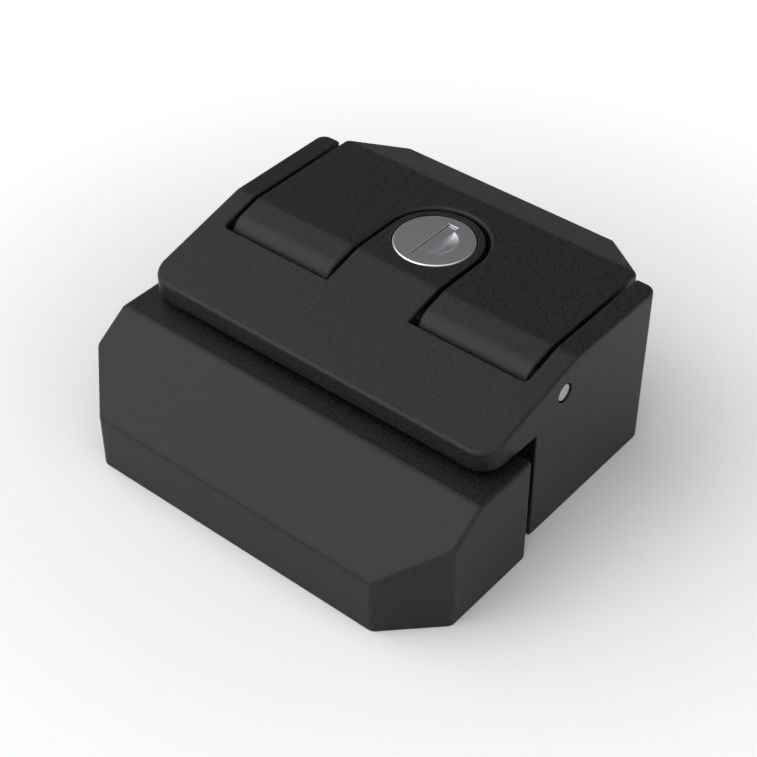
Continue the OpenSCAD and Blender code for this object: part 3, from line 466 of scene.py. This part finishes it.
coat = {  # linear colours of the black finish, and its gloss
    "low": (0.0008, 0.0009, 0.0010),
    "high": (0.0120, 0.0124, 0.0134),
    # edge colour: rubbed wear and a painted highlight along the rounded edges
    "wornAndHighlight": (0.060, 0.061, 0.063),
    "rough": (0.40, 0.56),
    "specular": 0.27,
    "depth": 0.00010,
    # how much of that edge colour shows: wear and painted highlight
    "wearAndHighlight": 0.6,
    "grain": 0.00031,
}


def blackCoat(name):
    return coated(
        name, coat["low"], coat["high"], coat["wornAndHighlight"], coat["rough"], coat["depth"], coat["wearAndHighlight"],
        grainSize=coat["grain"], specular=coat["specular"],
    )


finishes = {
    "housingCoat": blackCoat("housingCoat"),
    "leverCoat": blackCoat("leverCoat"),
    "keeperCoat": blackCoat("keeperCoat"),
    "bezelPlastic": coated(
        "bezelPlastic", (0.018, 0.018, 0.019), (0.026, 0.026, 0.027), (0.04, 0.04, 0.041), (0.38, 0.48),
        0.00001, 0.3, grainSize=0.0004),
    "bufferRubber": coated(
        "bufferRubber", (0.012, 0.012, 0.012), (0.022, 0.022, 0.022), (0.03, 0.03, 0.03), (0.75, 0.9),
        0.00002, 0.1, grainSize=0.0003, specular=0.3),
    "bushPlastic": coated(
        "bushPlastic", (0.60, 0.58, 0.52), (0.68, 0.66, 0.60), (0.75, 0.73, 0.68), (0.35, 0.45),
        0.000006, 0.2, grainSize=0.0005),
    "carriageCasting": coated(
        "carriageCasting", (0.045, 0.046, 0.05), (0.075, 0.076, 0.08), (0.25, 0.25, 0.26), (0.4, 0.55),
        0.00003, 0.8, grainSize=0.0005, specular=0.6),
    "platedSteel": metal(
        "platedSteel", (0.46, 0.47, 0.49), (0.60, 0.61, 0.63), (0.28, 0.42), (1.0, 0.12, 1.0),
        2500.0, 0.000006),
    "pinSteel": metal(
        "pinSteel", (0.38, 0.38, 0.385), (0.48, 0.48, 0.485), (0.2, 0.32), (0.1, 1.0, 1.0), 5000.0),
    "boltSteel": metal(
        "boltSteel", (0.72, 0.72, 0.73), (0.84, 0.84, 0.85), (0.12, 0.22), (0.1, 1.0, 1.0), 5000.0),
    "springSteel": metal(
        "springSteel", (0.40, 0.41, 0.43), (0.55, 0.56, 0.58), (0.2, 0.35), (1.0, 1.0, 1.0), 6000.0),
    "discNickel": metal(
        "discNickel", (0.52, 0.525, 0.54), (0.59, 0.595, 0.61), (0.27, 0.35), (1.0, 1.0, 1.0),
        9000.0, 0.000003),
    "lockBrass": metal(
        "lockBrass", (0.52, 0.36, 0.14), (0.68, 0.49, 0.22), (0.25, 0.4), (1.0, 1.0, 0.2), 4000.0),
}

nodeFinish = {
    "chassis_plate": "platedSteel", "chassis_screws": "platedSteel", "lock_inserts": "lockBrass",
    "hinge_pin": "pinSteel", "bolt_bezel": "bezelPlastic", "lever_buffers": "bufferRubber",
    "guide_rods": "pinSteel", "rod_clips": "springSteel", "carriage_springs": "springSteel",
    "bolt_springs": "springSteel", "lock_sleeve": "lockBrass", "lock_nut": "platedSteel",
    "hinge_bushes": "bushPlastic", "bolt_carriage": "carriageCasting", "latch_bolt": "boltSteel",
    "key_plug": "lockBrass", "plug_clip": "springSteel", "wafers": "lockBrass",
    "key_shutter": "discNickel", "locking_pin": "boltSteel", "keeper_base": "platedSteel",
    "keeper_screws": "platedSteel", "keeper_inserts": "lockBrass", "strike_box": "platedSteel",
}


def dressNodes():
    for name, finish in nodeFinish.items():
        data = nodes[name].data
        data.materials.clear()
        data.materials.append(finishes[finish])


dressNodes()
print("materials ready:", len(finishes))


# Lock body moulding
housing = {
    "edge": 0.7,  # moulded edges, and the softness of the shallow ones
    "crest": 0.55,
    "noseCorner": 4.6,
    "noseSteps": 14,
    "rearCorner": 2.2,
    "frontCorner": 0.3,
    "frontSteps": 4,
    "bodyFrontY": -18.1,
    "crestY": -7.16,
    "noseTopZ": 28.75,
    "underZ": (23.5, 24.4),  # underside of the cover plate at the wall and at its nose
    "deckZ": (21.4, 23.4),
    "wellX": 35.5,
    "windowY": -15.9,
    "windowCorner": 1.2,
    "windowSteps": 6,
    "innerY": (-15.7, 15.7),
    "tongueR": 9.6,
    "rimBreak": 0.45,
    "floorBreak": 0.3,
    "overlap": 2,  # of the body into the cover plate
    "bossZ": 18.0,
    "sleeveBore": 7.95,
    "discBore": 8.15,
    "slotX": (18.5, 24.5),
    "slotY": (-13.25, 0.0),
    "post": (30.0, 11.0, 4.5),
    "screwPostR": 3.5,
    "baseT": 2.0,
    "insertR": 3.3,
    "insertL": 10.0,
    "screwR": 1.5,
    "buffer": (31.0, 11.5, 3.0, 1.0),  # place, radius and depth of each buffer's seat
    "mouth": (-12.2, 12.2, 3.4, 13.2),
    "pinFit": 0.02,
    "pinHole": (12.0, 1.25),  # reach of the locking pin's hole from the cylinder's axis, and radius
}


def plateAndBody(values):
    low, high = nodeBox("housing_shell")
    side, nose, rear, top = high.x, low.y, high.y, high.z
    front = values["bodyFrontY"]
    plate = prism("housingShell", [
        (nose, values["underZ"][1]), (rear, values["underZ"][0]), (rear, top),
        (values["crestY"], top), (nose, values["noseTopZ"]),
    ], -side, side, "x")
    steps = meshing["cornerSteps"]
    turnEdges(plate, values["noseCorner"], values["noseSteps"], lambda m, e: isUpright(e) and m.y < front)
    turnEdges(plate, values["rearCorner"], steps, lambda m, e: isUpright(e) and m.y > front)
    roundEdges(plate, values["edge"], meshing["edgeSteps"], crest=values["crest"])
    body = block("body", (-side, side), (front, rear), (0, values["deckZ"][1] + values["overlap"]))
    turnEdges(body, values["rearCorner"], steps, lambda m, e: isUpright(e) and m.y > 0)
    turnEdges(body, values["frontCorner"], values["frontSteps"], lambda m, e: isUpright(e) and m.y < 0)
    roundEdges(body, values["floorBreak"], meshing["breakSteps"],
               chosen=lambda e: e.verts[0].co.z + e.verts[1].co.z < meshing["touch"])
    return weld(plate, [body])


def wellCutter(values, cylinderY):
    wide, front, corner = values["wellX"], values["windowY"], values["windowCorner"]
    outline = (
        arc((-wide + corner, front + corner), corner, 180, 270, values["windowSteps"])
        + arc((wide - corner, front + corner), corner, 270, 360, values["windowSteps"])
        + [(wide, beyond), (-wide, beyond)]
    )
    well = prism("well", outline, values["deckZ"][1], beyond)
    reach = values["tongueR"]
    tongue = [(-reach, -beyond), (reach, -beyond)]
    tongue += arc((0, cylinderY), reach, 0, 180, meshing["roundSteps"])
    return carve(well, [prism("tongue", tongue, 0, beyond + 1)])


def makeHousing(values):
    shell = plateAndBody(values)
    cylinderY = centreOf("lock_sleeve")[1]
    pinY, pinZ = centreOf("hinge_pin")[1:]
    side = nodeBox("housing_shell")[1].x
    carve(shell, [wellCutter(values, cylinderY)])
    steps, aboveDeck = meshing["breakSteps"], values["deckZ"][1] + values["rimBreak"]
    breakEdges(shell, values["rimBreak"], steps, lambda m: m.z > aboveDeck)
    x, y, r = values["post"]
    wide, base, seat = values["wellX"], values["baseT"], meshing["seatSides"]
    hollow = block("hollow", (-wide, wide), values["innerY"], (-cutPast, values["deckZ"][0]))
    carve(hollow, [
        rod("post", (sx * x, sy * y, base), (sx * x, sy * y, beyond), r if sy else values["screwPostR"], seat)
        for sx in (-1, 1) for sy in (-1, 0, 1)
    ])
    carve(hollow, [rod("boss", (0, cylinderY, values["bossZ"]), (0, cylinderY, beyond), values["tongueR"])])
    carve(shell, [hollow])
    faceZ = nodeBox("lock_sleeve")[1].z
    mouth = values["mouth"]
    frontWall = (values["bodyFrontY"] - cutPast, values["innerY"][0] + cutPast)
    fine, small = meshing["fineSides"], meshing["smallSides"]
    end, pinR = side + cutPast, pinRadius() + values["pinFit"]
    carve(shell, [
        rod("pinBore", (-end, pinY, pinZ), (end, pinY, pinZ), pinR),
        rod("sleeveBore", (0, cylinderY, 10), (0, cylinderY, beyond), values["sleeveBore"], fine),
        rod("discBore", (0, cylinderY, faceZ), (0, cylinderY, beyond), values["discBore"], fine),
        block("mouth", mouth[:2], frontWall, mouth[2:]),
    ])
    carve(shell, [
        block("slot", (s * values["slotX"][0], s * values["slotX"][1]), values["slotY"],
              (values["deckZ"][0] - cutPast, values["deckZ"][1] + cutPast)) for s in (-1, 1)
    ])
    length, insertR, screwR = values["insertL"], values["insertR"], values["screwR"]
    carve(shell, [
        rod("insertSeat", (sx * x, sy * y, -cutPast), (sx * x, sy * y, length), insertR, seat)
        for sx in (-1, 1) for sy in (-1, 1)
    ])
    carve(shell, [rod("screwSeat", (s * x, 0, -cutPast), (s * x, 0, length), screwR, small) for s in (-1, 1)])
    padX, padY, padR, padDepth = values["buffer"]
    deck = values["deckZ"][1]
    carve(shell, [
        rod("bufferSeat", (s * padX, padY, deck - padDepth), (s * padX, padY, deck + cutPast), padR, seat)
        for s in (-1, 1)
    ])
    socketZ = centreOf("locking_pin")[2]
    reach, holeR = values["pinHole"]
    reach /= math.sqrt(2)
    carve(shell, [rod("pinHole", (0, cylinderY, socketZ), (reach, cylinderY + reach, socketZ), holeR, small)])
    return finishPiece(shell, "lock_body", "housing_shell", finishes["housingCoat"])


makeHousing(housing)
print("housing made")


# Lever
lever = {
    "edge": 0.5,
    "edgeSteps": 5,
    "crestY": -7.16,
    "lipTopZ": 33.4,
    "floorZ": 23.9,
    "cut": (10.2, 7.8),  # each cut rear corner, across and along
    "cutSnap": 0.001,
    "knuckleR": 5.15,
    "knuckleSpan": (104.18, 262),  # its arc starts square to the cover's slope, in degrees
    "knuckleSteps": 26,
    "notchR": 10.45,
    "wall": 2.2,
    "notchBreak": 0.75,
    "notchSteps": 4,
    "rimNear": (0.15, 0.3, 0.2, 25),  # what counts as its rim: across, below the top, in the knuckle, least z
    "fingerX": (19.0, 24.0),
    "fingerT": 5.0,
    "fingerZ": 17.0,
    "fingerEdge": 0.4,
    "fingerSteps": 16,
    "rib": (24.0, 0.9),
    "crossRibY": (17.2, 19.0),
    "cutWall": 0.9,  # extra wall at the cut corners, and behind the knuckle
    "knuckleWall": 0.5,
    "pinFit": 0.05,
    "bushR": 3.0,
    "bushL": 6.0,
    "bushFit": 0.02,
    "socket": (9.95, 12.15, 1.5),  # of the locking pin, from the cylinder's axis, and its radius
}


def makeLever(values):
    side, lip, top = nodeBox("lever_handle")[1]
    pinY, pinZ = centreOf("hinge_pin")[1:]
    cylinderY = centreOf("lock_sleeve")[1]
    across, along = values["cut"]
    outline = (
        [(lip, values["floorZ"]), (lip, values["lipTopZ"]), (lip - along, top), (values["crestY"], top)]
        + arc((pinY, pinZ), values["knuckleR"], *values["knuckleSpan"], values["knuckleSteps"])
    )
    shape = prism("leverHandle", outline, -side, side, "x")
    bm = bmesh.new()
    bm.from_mesh(shape.data)
    for s in (-1, 1):  # the cut rear corners
        corner = Vector((s * side, lip - along, 0))
        outward = Vector((s * along, across, 0)).normalized()
        geom = list(bm.verts) + list(bm.edges) + list(bm.faces)
        cut = bmesh.ops.bisect_plane(
            bm, geom=geom, dist=values["cutSnap"], plane_co=corner, plane_no=outward, clear_outer=True,
        )
        rim = [e for e in cut["geom_cut"] if isinstance(e, bmesh.types.BMEdge)]
        bmesh.ops.edgeloop_fill(bm, edges=rim)
    bmesh.ops.recalc_face_normals(bm, faces=bm.faces)
    bm.to_mesh(shape.data)
    bm.free()
    roundEdges(shape, values["edge"], values["edgeSteps"], clamp=True)
    reach = values["notchR"]
    pinR = pinRadius() + values["pinFit"]
    carve(shape, [rod("pinBore", (-side - cutPast, pinY, pinZ), (side + cutPast, pinY, pinZ), pinR)])
    bush, fit = values["bushL"], values["bushFit"]
    carve(shape, [
        rod("bushBore", (end - fit, pinY, pinZ), (end + (bush + fit), pinY, pinZ), values["bushR"])
        for end in (-side, side - bush, reach, -reach - bush)
    ])
    notch = [(-reach, -beyond), (reach, -beyond)]
    notch += arc((0, cylinderY), reach, 0, 180, meshing["roundSteps"])
    carve(shape, [prism("notch", notch, 0, beyond)])
    wall, front = values["wall"], pinY + values["knuckleR"] + values["knuckleWall"]
    inner, extra = side - wall, values["cutWall"]
    plan = [
        (-inner, front), (inner, front), (inner, lip - along - extra), (side - across - extra, lip - wall),
        (-side + across + extra, lip - wall), (-inner, lip - along - extra),
    ]
    hollow = prism("hollow", plan, 0, top - wall)
    keep = [(-reach - wall, -beyond), (reach + wall, -beyond)]
    keep += arc((0, cylinderY), reach + wall, 0, 180, meshing["seatSides"])
    x, half = values["rib"]
    ribY = values["crossRibY"]
    ribEnd = sum(ribY) / 2
    upward = (-cutPast, beyond)
    carve(hollow, [prism("keep", keep, *upward)])
    carve(hollow, [block("rib", (p - half, p + half), (-beyond, ribEnd), upward) for p in (-x, x)])
    carve(hollow, [block("rib", (-half, half), (-beyond, ribEnd), upward),
                   block("crossRib", (-beyond, beyond), ribY, upward)])
    carve(shape, [hollow])
    fingers = []
    for s in (-1, 1):
        a, b = sorted((s * values["fingerX"][0], s * values["fingerX"][1]))
        half = values["fingerT"] / 2
        root = pinZ - values["knuckleR"] / 2
        tip = arc((pinY, values["fingerZ"]), half, 180, 360, values["fingerSteps"])
        finger = prism("finger", [(pinY + half, root), (pinY - half, root)] + tip, a, b, "x")
        roundEdges(finger, values["fingerEdge"], meshing["breakSteps"])
        fingers.append(finger)
    weld(shape, fingers)
    socketZ = centreOf("locking_pin")[2]
    start, end, socketR = values["socket"]
    start, end = start / math.sqrt(2), end / math.sqrt(2)
    near, far = (start, cylinderY + start, socketZ), (end, cylinderY + end, socketZ)
    carve(shape, [rod("socket", near, far, socketR, meshing["smallSides"])])

    across, below, inside, least = values["rimNear"]

    def onNotchRim(m):
        if m.y > values["crestY"]:
            return math.hypot(m.x, max(0, m.y - cylinderY)) < reach + across and m.z > top - below
        outside = math.hypot(m.y - pinY, m.z - pinZ) > values["knuckleR"] - inside
        return abs(m.x) < reach + across and outside and m.z > least

    breakEdges(shape, values["notchBreak"], values["notchSteps"], onNotchRim)
    return finishPiece(shape, "lever", "lever_handle", finishes["leverCoat"])


makeLever(lever)
print("lever made")


# Keeper moulding
keeper = {
    "edge": 0.8,
    "crest": 0.7,
    "rearCorner": 1.2,
    "crestY": -37.1,
    "noseTopZ": 11.9,
    "cut": 9.8,
    "wall": 2.6,
    "floorBreak": 0.3,
    "mouth": (-18.0, 18.0, 12.5),
    "rib": (20.0, 21.8),
    "post": (30.0, 7.5, 4.5),
    "midY": -38.0,
    "baseT": 2.0,
    "insertR": 3.3,
    "insertL": 10.0,
    "screwX": 35.5,
    "screwPostR": 3.5,
    "screwR": 1.5,
}


def keeperHollow(values, side, front, rear, top):
    wall = values["wall"]
    across, back, nose = side - wall, rear - wall, front + wall
    cut = values["cut"] - wall * (2 - math.sqrt(2))
    hollow = prism("hollow", [
        (-across + cut, nose), (across - cut, nose), (across, nose + cut), (across, back), (-across, back),
        (-across, nose + cut),
    ], -cutPast, top - wall)
    slope = (top - values["noseTopZ"]) / (values["crestY"] - front)
    drop = wall * math.sqrt(1 + slope ** 2)
    start = values["noseTopZ"] - drop
    roof = prism("roof", [
        (front - 1, start - slope), (rear, start + slope * (rear - front)),
        (rear, beyond), (front - 1, beyond),
    ], -beyond, beyond, "x")
    x, y, r = values["post"]
    base, middle, seat = values["baseT"], values["midY"], meshing["seatSides"]
    posts = [
        rod("post", (sx * x, middle + sy * y, base), (sx * x, middle + sy * y, beyond), r, seat)
        for sx in (-1, 1) for sy in (-1, 1)
    ]
    x = values["screwX"]
    screwR = values["screwPostR"]
    posts += [rod("post", (s * x, middle, base), (s * x, middle, beyond), screwR, seat) for s in (-1, 1)]
    near, far = values["rib"]
    ribs = [block("rib", sorted((s * near, s * far)), (-beyond, 0), (base, beyond)) for s in (-1, 1)]
    return carve(hollow, [roof] + posts + ribs)


def makeKeeper(values):
    low, high = nodeBox("keeper_shell")
    side, front, rear, top = high.x, low.y, high.y, high.z
    shape = prism("keeperShell", [
        (front, 0), (rear, 0), (rear, top), (values["crestY"], top), (front, values["noseTopZ"]),
    ], -side, side, "x")
    cut = values["cut"]
    corners = [
        prism("corner", [
            (s * (side - cut), front), (s * (side + 5), front + cut + 5), (s * (side + 5), front - 5),
            (s * (side - cut - 5), front - 5),
        ], -5, beyond)
        for s in (-1, 1)
    ]
    carve(shape, corners)
    turnEdges(
        shape, values["rearCorner"], meshing["cornerSteps"], lambda m, e: isUpright(e) and m.y > rear - 1)
    roundEdges(shape, values["edge"], meshing["edgeSteps"], crest=values["crest"],
               chosen=lambda e: e.verts[0].co.z + e.verts[1].co.z > 0.5)
    breakEdges(shape, values["floorBreak"], meshing["breakSteps"], lambda m: m.z < meshing["touch"])
    carve(shape, [keeperHollow(values, side, front, rear, top)])
    x0, x1, mouthTop = values["mouth"]
    carve(shape, [block("mouth", (x0, x1), (rear - values["wall"] - 1, rear + 1), (-1, mouthTop))])
    x, y = values["post"][:2]
    middle, length, insertR, seat = values["midY"], values["insertL"], values["insertR"], meshing["seatSides"]
    places = [(sx * x, middle + sy * y) for sx in (-1, 1) for sy in (-1, 1)]
    carve(shape, [
        rod("insertSeat", (px, py, -cutPast), (px, py, length), insertR, seat) for px, py in places
    ])
    x, screwR, small = values["screwX"], values["screwR"], meshing["smallSides"]
    carve(shape, [
        rod("screwSeat", (s * x, middle, -cutPast), (s * x, middle, length), screwR, small) for s in (-1, 1)
    ])
    return finishPiece(shape, "lock_body", "keeper_shell", finishes["keeperCoat"])


makeKeeper(keeper)
print("keeper made")


# Face disc of the cylinder lock
disc = {
    "radius": 8.03,
    "sides": 128,
    "bevel": 0.45,
    "bevelSteps": 4,
    "slot": (-1.15, 1.15, -5.8, 5.8),
    "dish": (0.1, 0.1, 4.5, 0.85),  # centre x and y from the axis, radius, depth
    "dishEdge": 1.3,
    "rings": 96,
    "crease": 28,
    "break": 0.09,
}


def makeDisc(values):
    low, high = nodeBox("plug_face")
    cylinderY = centreOf("lock_sleeve")[1]
    r, bevel = values["radius"], values["bevel"]
    bm = bmesh.new()
    bmesh.ops.create_cone(
        bm, cap_ends=True, segments=values["sides"], radius1=r, radius2=r, depth=high.z - low.z,
        matrix=Matrix.Translation((0, cylinderY, (high.z + low.z) / 2)),
    )
    shape = asObject("plugFace", bm)
    roundEdges(shape, bevel, values["bevelSteps"],
               chosen=lambda e: e.verts[0].co.z + e.verts[1].co.z > 2 * high.z - 0.1)
    x0, x1, y0, y1 = values["slot"]
    dishX, dishY, dishR, depth = values["dish"]
    ball = (dishR ** 2 + depth ** 2) / (2 * depth)
    bm = bmesh.new()
    bmesh.ops.create_uvsphere(
        bm, u_segments=values["sides"], v_segments=values["rings"], radius=ball,
        matrix=Matrix.Translation((dishX, cylinderY + dishY, high.z + ball - depth)),
    )
    dish = asObject("dish", bm)
    carve(dish, [block("side", (-beyond, values["dishEdge"]), (-beyond, beyond), (0, 2 * beyond))])
    carve(shape, [block("slot", (x0, x1), (cylinderY + y0, cylinderY + y1), (0, beyond)), dish])
    face, inside = high.z - 0.02, r - 1
    breakEdges(
        shape, values["break"], meshing["breakSteps"],
        lambda m: m.z > face and math.hypot(m.x, m.y - cylinderY) < inside)
    return finishPiece(shape, "plug", "plug_face", finishes["discNickel"], values["crease"])


makeDisc(disc)
print("disc made")


# Studio: a pale floor with painted shade under and around the lock, a soft key from the front left, and a sky
# that is bright there and dim behind
studio = {
    "floorRadius": 12.0,
    "floorSides": 96,
    "floorNearPaintedShade": (0.665, 0.665, 0.663),  # painted shade: paper darker under and around the lock, and its colour away from it
    "floorFar": (0.84, 0.84, 0.835),
    "paintedShadeFade": (0.05, 0.17),
    "paperRough": 0.9,
    "paperSheen": 0.1,
    "fibreScale": 900.0,
    "fibreTone": 0.04,  # how much of the fade the paper's fibres add or take
    "skyColour": (0.975, 0.985, 1.0),
    "skyLow": 0.14,
    "skyFront": 2.40,  # added in front, over the span of Y in which it fades in
    "skyFrontY": (0.55, 0.0),
    "skyLeft": 0.34,  # share of it on the right and at the far left, over their spans of X
    "skyLeftX": (0.30, -0.35),
    "skyEdge": 0.45,
    "skyEdgeX": (-0.62, -0.92),
    "skyRight": 0.55,  # added toward the right
    "skyRightX": (-0.2, 1.0),
    "rim": 1.02,  # white wall behind the floor, and the heights between which it ends
    "rimZ": (0.075, 0.15),
    "keyColour": (1.0, 0.985, 0.955),
    "keyPower": 3.0,
    "keyPlace": (-0.95, -0.80, 1.60),
    "keySize": 0.80,
}


def makeFloor():
    bm = bmesh.new()
    bmesh.ops.create_circle(
        bm, cap_ends=True, segments=studio["floorSides"], radius=studio["floorRadius"])
    mesh = bpy.data.meshes.new("floor")
    bm.to_mesh(mesh)
    bm.free()
    floor = bpy.data.objects.new("floor", mesh)
    bpy.context.scene.collection.objects.link(floor)
    material, tree, shader = newMaterial(
        "floorPaper", Roughness=studio["paperRough"], Specular_IOR_Level=studio["paperSheen"])
    place = addNode(tree, "TexCoord")
    reach = addNode(tree, "VectorMath", operation="LENGTH")
    join(tree, place.outputs["Object"], reach.inputs[0])
    near, far = studio["paintedShadeFade"]
    away = addNode(tree, "MapRange", {"From Min": near, "From Max": far}, interpolation_type="SMOOTHSTEP")
    join(tree, reach.outputs["Value"], away.inputs["Value"])
    noise = addNode(tree, "TexNoise", {"Scale": studio["fibreScale"], "Detail": 2.0})
    join(tree, place.outputs["Object"], noise.inputs["Vector"])
    fibre = addNode(tree, "MapRange", {"To Min": -studio["fibreTone"], "To Max": studio["fibreTone"]})
    join(tree, noise.outputs["Fac"], fibre.inputs["Value"])
    tone = addNode(tree, "Math", operation="ADD", use_clamp=True)
    join(tree, away.outputs["Result"], tone.inputs[0])
    join(tree, fibre.outputs["Result"], tone.inputs[1])
    # painted shade: the paper's colour darkens toward the lock, standing in for its shade on the floor
    paper = mixColours(tree, tone.outputs[0], studio["floorNearPaintedShade"], studio["floorFar"])
    join(tree, paper.outputs["Result"], shader.inputs["Base Color"])
    mesh.materials.append(material)


def fade(tree, value, span, start, end):  # smooth step from one value to another over a span
    step = addNode(tree, "MapRange", {
        "From Min": span[0], "From Max": span[1], "To Min": start, "To Max": end,
    }, interpolation_type="SMOOTHSTEP")
    join(tree, value, step.inputs["Value"])
    return step.outputs["Result"]


def makeSky():
    world = bpy.data.worlds.new("studioSky")
    bpy.context.scene.world = world
    world.use_nodes = True
    tree = world.node_tree
    backdrop = tree.nodes["Background"]
    place = addNode(tree, "TexCoord")
    axes = addNode(tree, "SeparateXYZ")
    join(tree, place.outputs["Generated"], axes.inputs[0])
    x, y = axes.outputs["X"], axes.outputs["Y"]
    front = fade(tree, y, studio["skyFrontY"], 0.0, studio["skyFront"])
    left = fade(tree, x, studio["skyLeftX"], studio["skyLeft"], 1.0)
    edge = fade(tree, x, studio["skyEdgeX"], 1.0, studio["skyEdge"])
    right = fade(tree, x, studio["skyRightX"], 0.0, studio["skyRight"])
    patch = addNode(tree, "Math", operation="MULTIPLY")
    join(tree, left, patch.inputs[0])
    join(tree, edge, patch.inputs[1])
    box = addNode(tree, "Math", {2: studio["skyLow"]}, operation="MULTIPLY_ADD")
    join(tree, front, box.inputs[0])
    join(tree, patch.outputs[0], box.inputs[1])
    total = addNode(tree, "Math", operation="ADD")
    join(tree, box.outputs[0], total.inputs[0])
    join(tree, right, total.inputs[1])
    rim = fade(tree, axes.outputs["Z"], studio["rimZ"], studio["rim"], 0.0)
    shown = addNode(tree, "Math", operation="MAXIMUM")
    join(tree, total.outputs[0], shown.inputs[0])
    join(tree, rim, shown.inputs[1])
    join(tree, shown.outputs[0], backdrop.inputs["Strength"])
    backdrop.inputs["Color"].default_value = (*studio["skyColour"], 1)


def makeKey():
    data = bpy.data.lights.new("key", "AREA")
    data.shape = "DISK"
    data.size = studio["keySize"]
    data.energy = studio["keyPower"]
    data.color = studio["keyColour"]
    key = bpy.data.objects.new("key", data)
    key.location = studio["keyPlace"]
    key.rotation_euler = (-Vector(studio["keyPlace"])).to_track_quat("-Z", "Y").to_euler()
    bpy.context.scene.collection.objects.link(key)


makeFloor()
makeSky()
makeKey()
bpy.context.scene.view_settings.view_transform = "Standard"
print("studio ready")
